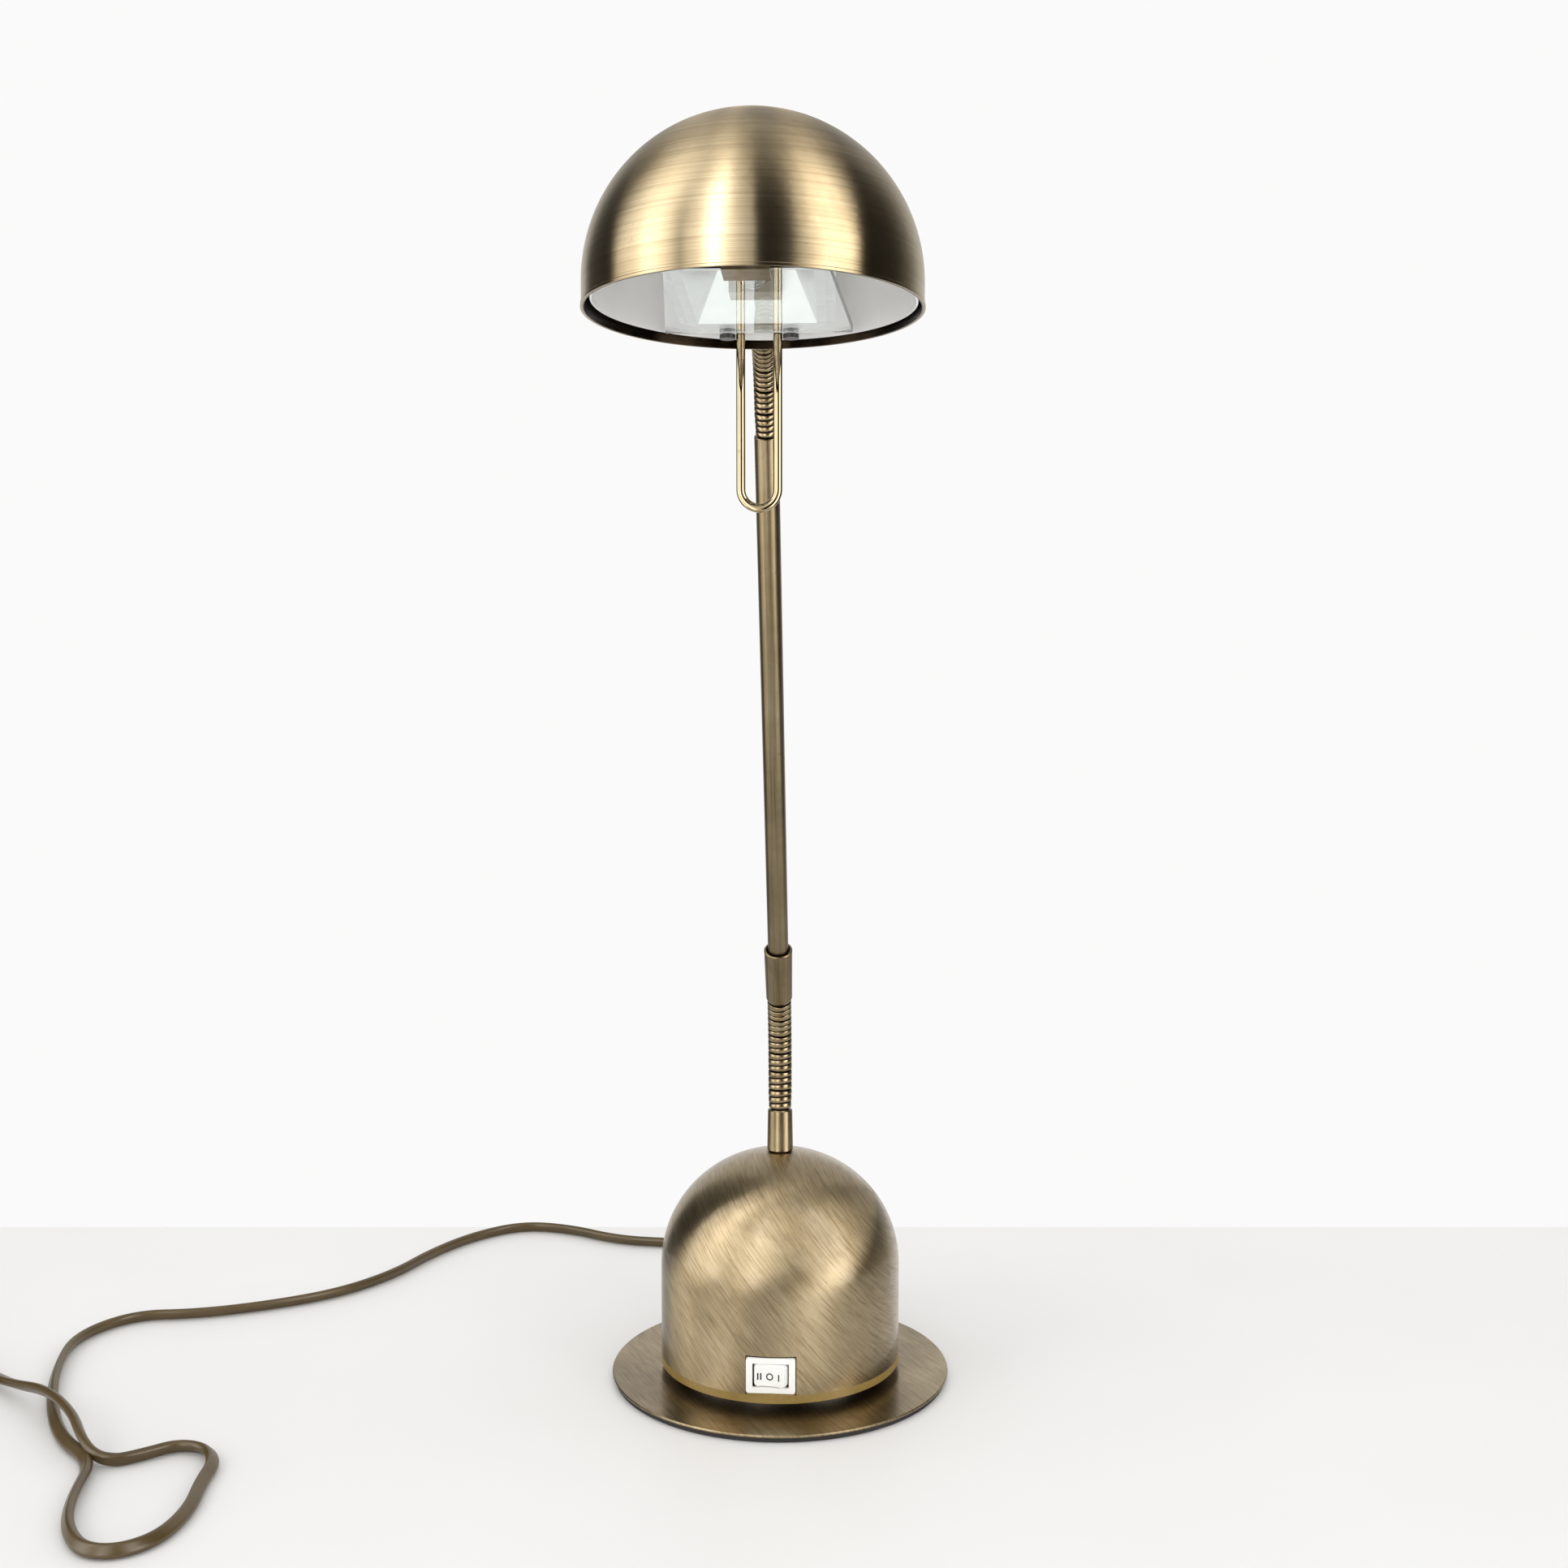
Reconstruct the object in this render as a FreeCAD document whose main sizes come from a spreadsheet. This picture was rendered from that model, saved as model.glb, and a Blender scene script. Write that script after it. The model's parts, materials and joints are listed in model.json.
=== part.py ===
"""Dome shade desk lamp: a flat base disc, a domed transformer housing, two ribbed flexible necks
with a rod between them and a small dome shade with a halogen capsule.

Millimetres, +Z up, origin at the bottom centre of the base disc.  The arm lies in the YZ plane
and reaches towards -Y, and the lead leaves the housing towards +Y.
"""
import FreeCAD, Part
import math
import os
import re
import Sketcher

Vector = FreeCAD.Vector
Rotation = FreeCAD.Rotation
Placement = FreeCAD.Placement

# ---------------------------------------------------------------- driving dimensions
SIZES = {
    # base disc, which turns under the housing
    "disc_radius": 76.1,
    "pad_height": 1.8,
    "pad_inset": 1.0,
    "plate_height": 1.2,
    "swivel_radius": 48.0,
    "swivel_height": 3.8,
    "swivel_gap": 0.1,
    "bolt_radius": 4.0,
    "close_fit": 0.05,
    "thread_fit": 0.02,
    "bolt_head_radius": 9.0,
    "bolt_head_height": 1.2,
    "washer_radius": 8.0,
    "washer_height": 1.0,
    "nut_radius": 7.0,
    "nut_height": 6.5,
    # housing
    "housing_radius": 53.92,
    "housing_wall": 1.0,
    "skirt_height": 40.31,
    "dome_height": 50.86,
    "floor_height": 3.4,
    "boss_radius": 12.0,
    "boss_height": 4.5,
    "upstand_height": 2.2,
    "upstand_wall": 2.4,
    "seat_gap": 0.2,
    "switch_turn": 2.3,
    # transformer on its four posts
    "core_width": 57.0,
    "core_depth": 28.0,
    "core_height": 48.0,
    "core_window": 9.5,
    "core_yoke": 9.5,
    "winding_depth": 44.0,
    "post_radius": 3.8,
    "post_height": 14.7,
    "post_spread": 42.0,
    "post_depth": 18.0,
    "screw_radius": 1.5,
    "screw_head_radius": 2.8,
    "screw_head_height": 1.8,
    "screw_bite": 6.0,
    "block_length": 22.0,
    "block_depth": 10.0,
    "block_height": 12.0,
    "block_side": 8.0,
    "block_room": 14.92,
    "well_radius": 1.6,
    "winding_gap": 0.3,
    # rocker switch
    "bezel_width": 21.0,
    "bezel_height": 15.0,
    "bezel_bottom": 11.7,
    "bezel_thickness": 1.6,
    "bezel_proud": 0.7,
    "bezel_corner": 1.2,
    "notch_gap": 0.4,
    "tab_width": 19.3,
    "holder_wall": 1.6,
    "rocker_width": 14.9,
    "rocker_height": 9.7,
    "rocker_gap": 0.3,
    "rocker_dish": 1.3,
    "rocker_proud": 2.3,
    "rocker_depth": 3.0,
    "rocker_tilt": 10.0,
    "trunnion_radius": 1.0,
    "pivot_depth": 2.8,
    "switch_wall": 0.95,
    "switch_roof": 0.65,
    "pocket_room": 2.4,
    "switch_depth": 15.0,
    "lug_width": 4.8,
    "lug_height": 0.8,
    "lug_length": 7.0,
    # lead outlet
    "outlet_height": 17.0,
    "relief_radius": 6.5,
    "relief_flange": 2.0,
    "relief_spigot": 4.0,
    "relief_tip": 3.0,
    "relief_shoulder": 0.6,
    "relief_length": 30.0,
    # ferrule on top of the dome
    "ferrule_bottom_radius": 5.875,
    "ferrule_top_radius": 5.55,
    "ferrule_height": 19.3,
    "ferrule_spigot": 4.0,
    "ferrule_drop": 9.0,
    "ferrule_nut_radius": 7.0,
    "ferrule_nut_height": 5.0,
    "hole_gap": 0.1,
    # lower flexible neck
    "lower_pitch": 2.94,
    "lower_radius": 5.3,
    "lower_groove_depth": 0.6,
    "lower_groove": 0.7,
    "lower_hinge_gap": 0.9,
    "lower_ball": 3.8,
    "lower_bore": 2.8,
    "arm_tilt": 29.76,
    # sleeve and rod
    "sleeve_length": 28.0,
    "sleeve_bottom_radius": 5.8,
    "sleeve_top_radius": 6.175,
    "sleeve_bore": 5.35,
    "sleeve_floor": 2.6,
    "rod_radius": 4.46,
    "rod_bore": 3.3,
    "rod_length": 236.2,
    "rod_round": 1.1,
    "rod_recess": 2.3,
    "plug_bite": 14.0,
    "rod_top_wall": 6.0,
    # upper flexible neck
    "upper_pitch": 2.2,
    "upper_radius": 4.15,
    "upper_groove_depth": 0.45,
    "upper_groove": 0.5,
    "upper_hinge_gap": 0.7,
    "upper_ball": 2.95,
    "upper_bore": 2.0,
    "upper_straight": 11.0,
    "upper_bend_radius": 47.0,
    "ball_fit": 0.2,
    # shade
    "shade_radius": 51.74,
    "shade_wall": 0.8,
    "shade_skirt": 7.6,
    "shade_dome": 50.3,
    "lip_width": 0.26,
    "lip_height": 1.0,
    "liner_gap": 1.45,
    "liner_wall": 0.6,
    "liner_rise": 2.4,
    "liner_tilt": 0.5,
    "liner_shift": 0.3,
    "fitting_rise": 11.2,
    "fitting_radius": 5.0,
    "fitting_flange": 1.8,
    "fitting_spigot": 2.8,
    "fitting_nut_radius": 4.4,
    "fitting_nut_height": 3.6,
    # lamp carrier, reflector, glass and handle inside the shade
    "pane_rise": 2.0,
    "pane_thickness": 2.5,
    "pane_front_width": 46.0,
    "pane_rear_width": 61.0,
    "pane_front_room": 7.69,
    "pane_rear": 36.8,
    "flange_gap": 0.2,
    "dish_sheet": 0.5,
    "dish_width": 39.0,
    "dish_front_inset": 4.7,
    "dish_rear": 27.5,
    "dish_height": 16.5,
    "dish_draft": 7.5,
    "dish_flange": 2.5,
    "carrier_sheet": 1.2,
    "carrier_front_width": 38.0,
    "carrier_nose": 1.6,
    "carrier_width": 50.0,
    "carrier_tongue": 12.0,
    "leg_gap": 1.4,
    "carrier_margin": 4.6,
    "handle_wire": 1.5,
    "handle_spread": 12.1,
    "handle_drop": 55.8,
    "handle_back": 38.8,
    "handle_nut_radius": 2.6,
    "handle_nut_height": 2.0,
    "clip_spread": 20.7,
    "clip_head": 2.6,
    "clip_head_height": 1.4,
    "clip_shank": 1.25,
    "bracket_width": 13.5,
    "bracket_reach": 12.0,
    "bracket_sheet": 0.9,
    "holder_width": 16.0,
    "holder_depth": 10.0,
    "holder_height": 11.0,
    "capsule_radius": 5.5,
    "capsule_length": 30.0,
    "pinch_length": 7.0,
    "pinch_thickness": 3.0,
    "pin_radius": 0.5,
    "pin_spread": 4.0,
    "pin_length": 5.0,
    # lead, coil and plug
    "cord_radius": 2.3,
    "outlet_run": 17.0,
    "coil_lift": 0.7,
    "coil_outer": 36.5,
    "coil_pitch": 5.9,
    "coil_step": 5.1,
    "coil_half_turns_in": 4.0,
    "coil_half_turns_out": 3.0,
    "coil_tail": 20.0,
    "tie_sheet": 0.6,
    "tie_width": 8.0,
    "plug_width": 35.3,
    "plug_height": 13.7,
    "plug_length": 36.0,
    "plug_neck": 12.0,
    "plug_pin_radius": 2.0,
    "plug_pin_length": 19.0,
    "plug_pin_spread": 18.6,
}
LOWER_SEGMENTS = 6
LOWER_RIBS = 3
UPPER_SEGMENTS = 6
UPPER_RIBS = 4
LOWER_CURVED_SHARE = 0.917  # share of the lower neck's length over which it bends
RIB_EDGE = 0.12             # width of the small slope at each rib's edges
SHORT = 2.0                 # overrun of cutting tools past the faces they cut
BALL_REACH = 0.45           # part of a hollow ball's radius that stands below its middle

# ---------------------------------------------------------------- heights worked out from them
PLACES = {
    "plate_top": "pad_height + plate_height",
    "floor_bottom": "plate_top + swivel_height + swivel_gap",
    "floor_top": "floor_bottom + floor_height",
    "boss_top": "floor_top + boss_height",
    "nut_bottom": "boss_top + washer_height",
    "core_bottom": "floor_top + post_height",
    "skirt_top": "floor_top + skirt_height",
    "housing_top": "skirt_top + dome_height",
    "housing_inner": "housing_radius - housing_wall",
    "block_back": "housing_inner - block_depth - block_room",
    "ferrule_bottom": "housing_top - hole_gap / 2",
    "ferrule_top": "ferrule_bottom + ferrule_height",
    "bezel_front": "housing_radius + bezel_proud",
    "bezel_back": "bezel_front - bezel_thickness",
    "bezel_middle": "bezel_bottom + bezel_height / 2",
    "pivot_back": "bezel_front - pivot_depth",
    "relief_start": "housing_radius + hole_gap",
    "shade_inner": "shade_radius - shade_wall",
    "liner_outer": "shade_inner - liner_gap",
    "liner_inner": "liner_outer - liner_wall",
    "pane_front": "liner_inner - pane_front_room",
    "dish_front": "pane_front - dish_front_inset",
    "pane_top": "pane_rise + pane_thickness",
    "flange_bottom": "pane_top + flange_gap",
    "flange_top": "flange_bottom + dish_sheet",
    "carrier_top": "flange_top + carrier_sheet",
    "leg_outer": "liner_inner - leg_gap",
    "coil_layer_1": "cord_radius + coil_lift",
    "coil_layer_2": "coil_layer_1 + coil_step",
}

doc = FreeCAD.newDocument("DomeShadeLamp")
size_sheet = doc.addObject("Spreadsheet::Sheet", "Size")
for row, (alias, number) in enumerate(SIZES.items(), start=1):
    size_sheet.set("A%d" % row, alias.replace("_", " "))
    size_sheet.set("B%d" % row, str(number))
    size_sheet.setAlias("B%d" % row, alias)
doc.recompute()


def expression(text):
    """Text with each alias written as Size.alias or Place.alias."""
    def full(match):
        word = match.group()
        if word in SIZES:
            return "Size." + word
        return "Place." + word if word in PLACES else word
    return re.sub(r"[a-z][a-z_0-9]*", full, text)


place_sheet = doc.addObject("Spreadsheet::Sheet", "Place")
for row, (alias, formula) in enumerate(PLACES.items(), start=1):
    own = re.sub(r"Place\.", "", expression(formula))
    place_sheet.set("A%d" % row, alias.replace("_", " "))
    place_sheet.set("B%d" % row, "=" + own)
    place_sheet.setAlias("B%d" % row, alias)
doc.recompute()


def size(alias):
    """The number in the cell with this alias."""
    sheet = size_sheet if alias in SIZES else place_sheet
    return float(sheet.get(alias))


# ---------------------------------------------------------------- building blocks
pieces = []
X_AXIS = Vector(1, 0, 0)
Y_AXIS = Vector(0, 1, 0)
Z_AXIS = Vector(0, 0, 1)
ALONG_BACK = Rotation(X_AXIS, -90)     # turns +Z to +Y
ALONG_FRONT = Rotation(X_AXIS, 90)     # turns +Z to -Y


def bound(thing, **properties):
    """Bind each property of thing to an expression."""
    for name, text in properties.items():
        thing.setExpression(name, expression(str(text)))
    return thing


def at(thing, x=0.0, y=0.0, z=0.0, rotation=None):
    thing.Placement = Placement(Vector(x, y, z), rotation or Rotation())
    return thing


def cylinder(name, radius, height, x=0.0, y=0.0, z=0.0, rotation=None):
    thing = doc.addObject("Part::Cylinder", name)
    return at(bound(thing, Radius=radius, Height=height), x, y, z, rotation)


def block(name, length, width, height, x=0.0, y=0.0, z=0.0):
    """A box with its lowest corner at x, y, z."""
    thing = doc.addObject("Part::Box", name)
    return at(bound(thing, Length=length, Width=width, Height=height), x, y, z)


def half_ellipsoid(name, radius, height, z):
    thing = doc.addObject("Part::Ellipsoid", name)
    bound(thing, Radius1=height, Radius2=radius, Radius3=radius)
    thing.Angle1 = 0
    thing.Angle2 = 90
    return at(thing, z=z)


def sphere(name, radius, point):
    thing = doc.addObject("Part::Sphere", name)
    return at(bound(thing, Radius=radius), point.x, point.y, point.z)


def joined(name, *things):
    whole = doc.addObject("Part::MultiFuse", name)
    whole.Shapes = list(things)
    return whole


def cut(name, base, *tools):
    tool = tools[0] if len(tools) == 1 else joined(name + "_tools", *tools)
    whole = doc.addObject("Part::Cut", name)
    whole.Base = base
    whole.Tool = tool
    return whole


def revolved(name, outline):
    """A body turned about Z from an outline of (radius, height) expressions."""
    body = doc.addObject("PartDesign::Body", name)
    sketch = body.newObject("Sketcher::SketchObject", name + "_outline")
    plane = [item for item in body.Origin.OriginFeatures if item.Role == "XZ_Plane"][0]
    sketch.AttachmentSupport = [(plane, "")]
    sketch.MapMode = "FlatFace"
    draw_outline(sketch, outline)
    turned = body.newObject("PartDesign::Revolution", name + "_turned")
    turned.Profile = sketch
    turned.ReferenceAxis = (sketch, ["V_Axis"])
    turned.Angle = 360
    return body


def padded(name, outline, height, z=0.0):
    """A body raised along Z from an outline of (x, y) expressions."""
    body = doc.addObject("PartDesign::Body", name)
    sketch = body.newObject("Sketcher::SketchObject", name + "_outline")
    plane = [item for item in body.Origin.OriginFeatures if item.Role == "XY_Plane"][0]
    sketch.AttachmentSupport = [(plane, "")]
    sketch.MapMode = "FlatFace"
    draw_outline(sketch, outline)
    raised = body.newObject("PartDesign::Pad", name + "_raised")
    raised.Profile = sketch
    bound(raised, Length=height)
    body.Placement = Placement(Vector(0, 0, z), Rotation())
    return body


def draw_outline(sketch, outline):
    """Closed polygon whose corners are bound to expressions."""
    corners = [(plain(x), plain(y)) for x, y in outline]
    count = len(corners)
    for index, corner in enumerate(corners):
        end = corners[(index + 1) % count]
        sketch.addGeometry(Part.LineSegment(Vector(*corner, 0), Vector(*end, 0)), False)
    for index in range(count):
        sketch.addConstraint(Sketcher.Constraint("Coincident", index, 2, (index + 1) % count, 1))
    for index, (x_text, y_text) in enumerate(outline):
        for kind, number, text in (("DistanceX", corners[index][0], x_text),
                                   ("DistanceY", corners[index][1], y_text)):
            constraint = sketch.addConstraint(Sketcher.Constraint(kind, index, 1, number))
            if any(character.isalpha() for character in str(text)):
                sketch.setExpression("Constraints[%d]" % constraint, expression(text))


scratch_row = len(PLACES) + 5


def plain(text):
    """The number that an expression comes to, worked out by the sheet."""
    own = re.sub(r"Place\.", "", expression(str(text)))
    place_sheet.set("D%d" % scratch_row, "=" + own)
    place_sheet.recompute()
    return float(place_sheet.get("D%d" % scratch_row))


def piece(thing, name, place=None):
    """Name a finished sub-part, and move it as a whole where place is given."""
    thing.Label = name
    if place is not None:
        thing.Placement = place.multiply(thing.Placement)
    pieces.append(thing)
    return thing


def shape_piece(shape, name, place=None):
    thing = doc.addObject("Part::Feature", name)
    thing.Shape = shape
    return piece(thing, name, place)


def hexagon(name, radius, height, z, bore):
    """A nut: a six-sided prism with its bore along Z."""
    prism = doc.addObject("Part::Prism", name + "_prism")
    prism.Polygon = 6
    bound(prism, Circumradius=radius, Height=height)
    at(prism, z=z)
    return cut(name, prism, cylinder(name + "_bore", bore, "%s + 2" % height, z=z - 1.0))


turned_frame = Placement(Vector(0, 0, 0), Rotation(Z_AXIS, -size("switch_turn")))


def turned():
    """The housing's own frame: its switch faces a little to the left of the arm's plane."""
    return Placement(turned_frame)


# ---------------------------------------------------------------- base disc
def build_base():
    pad_radius = "disc_radius - pad_inset"
    recess = "pad_height - bolt_head_height - hole_gap"
    piece(revolved("base_pad", [("0", "0"), (pad_radius, "0"), (pad_radius, "pad_height"),
                                ("bolt_head_radius + hole_gap", "pad_height"),
                                ("bolt_head_radius + hole_gap", recess), ("0", recess)]),
          "base_pad")
    hole = "bolt_radius + hole_gap"
    piece(revolved("base_plate", [(hole, "pad_height"), ("disc_radius - 0.4", "pad_height"),
                                  ("disc_radius", "pad_height + 0.4"),
                                  ("disc_radius", "plate_top - 0.4"),
                                  ("disc_radius - 0.4", "plate_top"), (hole, "plate_top")]),
          "base_plate")
    ring_top = "plate_top + swivel_height"
    piece(revolved("swivel_ring", [(hole, "plate_top"), ("swivel_radius", "plate_top"),
                                   ("swivel_radius", ring_top), (hole, ring_top)]), "swivel_ring")
    bolt_top = "nut_bottom + nut_height + 1.2"
    piece(revolved("pivot_bolt", [("0", "pad_height - bolt_head_height"),
                                  ("bolt_head_radius", "pad_height - bolt_head_height"),
                                  ("bolt_head_radius", "pad_height"),
                                  ("bolt_radius", "pad_height"), ("bolt_radius", bolt_top),
                                  ("0", bolt_top)]), "pivot_bolt")
    piece(revolved("pivot_washer", [(hole, "boss_top"), ("washer_radius", "boss_top"),
                                    ("washer_radius", "nut_bottom"), (hole, "nut_bottom")]),
          "pivot_washer")
    piece(hexagon("pivot_nut", "nut_radius", "nut_height", size("nut_bottom"),
                  "bolt_radius + thread_fit"), "pivot_nut")


# ---------------------------------------------------------------- housing
def post_centres():
    for x in (-0.5, 0.5):
        for y in (-0.5, 0.5):
            yield x * size("post_spread"), y * size("post_depth")


def build_bottom_plate():
    """The olive plastic floor: pivot boss, upstand, transformer posts, switch holder and tab."""
    bore = "bolt_radius + close_fit"
    rim_inner = "housing_inner - seat_gap - upstand_wall"
    rim_outer = "housing_inner - seat_gap"
    disc = revolved("floor_disc", [(bore, "floor_bottom"), ("housing_radius", "floor_bottom"),
                                   ("housing_radius", "floor_top"), (rim_outer, "floor_top"),
                                   (rim_outer, "floor_top + upstand_height"),
                                   (rim_inner, "floor_top + upstand_height"),
                                   (rim_inner, "floor_top"), ("boss_radius", "floor_top"),
                                   ("boss_radius", "boss_top"), (bore, "boss_top")])
    posts = []
    holes = []
    for number, (x, y) in enumerate(post_centres()):
        posts.append(cylinder("post_%d" % number, "post_radius", "post_height", x, y,
                              size("floor_top")))
        holes.append(cylinder("post_hole_%d" % number, "screw_radius + hole_gap",
                              "floor_height + post_height + 2", x, y, size("floor_bottom") - 1))
        holes.append(cylinder("post_sink_%d" % number, "screw_head_radius + hole_gap",
                              "screw_head_height + 2 * hole_gap + 1", x, y,
                              size("floor_bottom") - 1))
    holder_top = "bezel_bottom + bezel_height"
    holder = block("switch_holder", "bezel_width", "holder_wall", holder_top + " - floor_top",
                   -size("bezel_width") / 2, -size("bezel_back"), size("floor_top"))
    tab = block("switch_tab", "tab_width", "bezel_front - bezel_back", "bezel_bottom - floor_top",
                -size("tab_width") / 2, -size("bezel_front") + size("bezel_proud"),
                size("floor_top"))
    bound(tab, Width="bezel_thickness - bezel_proud")
    wall = "switch_wall + rocker_gap"
    window_width = "rocker_width + 2 * (%s) + 2 * hole_gap" % wall
    window_height = "rocker_height + 2 * (switch_roof + rocker_gap + hole_gap)"
    window = block("switch_window", window_width, "holder_wall + 2", window_height,
                   -plain(window_width) / 2, -size("bezel_back") - 1,
                   size("bezel_middle") - plain(window_height) / 2)
    rim_slot = block("rim_slot", "bezel_width + 0.02", "upstand_wall * 3", "upstand_height",
                     -size("bezel_width") / 2 - 0.01,
                     -size("housing_radius") - 1, size("floor_top"))
    base = cut("floor_drilled", disc, *holes, rim_slot)
    whole = joined("floor_joined", base, *posts, holder, tab)
    through = [cylinder("post_through_%d" % number, "screw_radius + hole_gap",
                        "post_height + 2", x, y, size("floor_top") - 1)
               for number, (x, y) in enumerate(post_centres())]
    piece(cut("bottom_plate", whole, window, *through), "bottom_plate", turned())


def build_housing_shell():
    """A spun shell: cylinder and half ellipsoid, open below, with the switch notch at its edge."""
    outer = joined("housing_outer",
                   cylinder("housing_skirt", "housing_radius", "skirt_height",
                            z=size("floor_top")),
                   half_ellipsoid("housing_dome", "housing_radius", "dome_height",
                                  size("skirt_top")))
    inner = joined("housing_hollow",
                   cylinder("housing_room", "housing_inner", "skirt_height + 1",
                            z=size("floor_top") - 1),
                   half_ellipsoid("housing_ceiling", "housing_inner", "dome_height - housing_wall",
                                  size("skirt_top")))
    notch_width = "bezel_width + 2 * notch_gap"
    notch = block("housing_notch", notch_width, "housing_wall * 6",
                  "bezel_bottom + bezel_height + notch_gap - floor_top + 1",
                  -plain(notch_width) / 2, -size("housing_radius") - 2, size("floor_top") - 1)
    top_hole = cylinder("housing_top_hole", "ferrule_spigot + hole_gap", "housing_wall * 6",
                        z=size("housing_top") - 3 * size("housing_wall"))
    outlet = cylinder("housing_outlet", "relief_spigot + hole_gap", "housing_wall * 8",
                      y=size("housing_radius") - 4 * size("housing_wall"),
                      z=size("outlet_height"), rotation=ALONG_BACK)
    piece(cut("housing_shell", outer, inner, notch, top_hole, outlet), "housing_shell", turned())


def build_transformer():
    width, depth = size("core_width"), size("core_depth")
    bottom = size("core_bottom")
    core = block("core_stack", "core_width", "core_depth", "core_height", -width / 2, -depth / 2,
                 bottom)
    window_height = "core_height - 2 * core_yoke"
    windows = []
    for side in (-1, 1):
        middle = side * (size("core_yoke") + size("core_window") / 2)
        windows.append(block("core_window_%d" % (side + 1), "core_window", "core_depth + 2",
                             window_height, middle - size("core_window") / 2, -depth / 2 - 1,
                             bottom + size("core_yoke")))
    sockets = [cylinder("core_socket_%d" % number, "screw_radius + hole_gap", "screw_bite", x, y,
                        bottom) for number, (x, y) in enumerate(post_centres())]
    piece(cut("transformer_core", core, *windows, *sockets), "transformer_core", turned())
    wound_width = "2 * (core_yoke + core_window - winding_gap)"
    wound_height = window_height + " - 2 * winding_gap"
    wound = block("winding_block", wound_width, "winding_depth", wound_height,
                  -plain(wound_width) / 2, -size("winding_depth") / 2,
                  bottom + size("core_yoke") + size("winding_gap"))
    leg_width = "2 * (core_yoke + winding_gap)"
    leg = block("winding_leg", leg_width, "core_depth + 2 * winding_gap", "core_height",
                -plain(leg_width) / 2, -depth / 2 - size("winding_gap"), bottom)
    piece(cut("transformer_winding", wound, leg), "transformer_winding", turned())
    screws = []
    for number, (x, y) in enumerate(post_centres()):
        head = cylinder("screw_head_%d" % number, "screw_head_radius", "screw_head_height", x, y,
                        size("floor_bottom") + 0.1)
        shank = cylinder("screw_shank_%d" % number, "screw_radius",
                         "floor_height + post_height + screw_bite - 0.6", x, y,
                         size("floor_bottom") + 0.3)
        screws += [head, shank]
    piece(joined("transformer_screws", *screws), "transformer_screws", turned())
    left, back = -size("block_length") - size("block_side"), size("block_back")
    terminal = block("terminal_body", "block_length", "block_depth", "block_height", left, back,
                     size("floor_top"))
    wells = [cylinder("terminal_well_%d" % number, "well_radius", "block_height * 0.6",
                      left + (number + 0.5) * size("block_length") / 3,
                      back + size("block_depth") / 2,
                      size("floor_top") + size("block_height") * 0.4 + 0.1)
             for number in range(3)]
    piece(cut("terminal_block", terminal, *wells), "terminal_block", turned())


# ---------------------------------------------------------------- rocker switch
def build_switch():
    """Bezel, body, lugs and rocker; the rocker's pivot is vertical, behind the bezel's front."""
    middle = size("bezel_middle")
    aperture_width = "rocker_width + 2 * rocker_gap"
    aperture_height = "rocker_height + 2 * rocker_gap"
    frame = block("bezel_plate", "bezel_width", "bezel_thickness", "bezel_height",
                  -size("bezel_width") / 2, -size("bezel_front"), size("bezel_bottom"))
    rounded = doc.addObject("Part::Fillet", "bezel_rounded")
    doc.recompute()
    rounded.Base = frame
    rounded.Edges = [(number, size("bezel_corner"), size("bezel_corner"))
                     for number, edge in enumerate(frame.Shape.Edges, start=1)
                     if edge.Length < size("bezel_thickness") + 0.01]
    hole = block("bezel_aperture", aperture_width, "bezel_thickness + 2", aperture_height,
                 -plain(aperture_width) / 2, -size("bezel_front") - 1,
                 middle - plain(aperture_height) / 2)
    piece(cut("switch_bezel", rounded, hole), "switch_bezel", turned())

    body_width = "rocker_width + 2 * rocker_gap + 2 * switch_wall"
    body_height = "rocker_height + 2 * rocker_gap + 2 * switch_roof"
    case = block("switch_case", body_width, "switch_depth", body_height, -plain(body_width) / 2,
                 -size("bezel_back"), middle - plain(body_height) / 2)
    pocket_depth = "rocker_depth + pocket_room"
    pocket = block("switch_pocket", aperture_width, pocket_depth + " + 2", aperture_height,
                   -plain(aperture_width) / 2, -size("pivot_back") - 2,
                   middle - plain(aperture_height) / 2)
    bearing = cylinder("switch_bearing", "trunnion_radius + close_fit", "bezel_height + 4",
                       0, -size("pivot_back"), size("bezel_bottom") - 2)
    piece(cut("switch_body", case, pocket, bearing), "switch_body", turned())
    lugs = []
    for number in range(3):
        x = (number - 1) * size("rocker_width") / 3
        lugs.append(block("lug_%d" % number, "lug_height", "lug_length", "lug_width",
                          x - size("lug_height") / 2, size("switch_depth") - size("bezel_back"),
                          middle - size("lug_width") / 2))
    piece(joined("switch_lugs", *lugs), "switch_lugs", turned())
    build_rocker()


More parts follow.
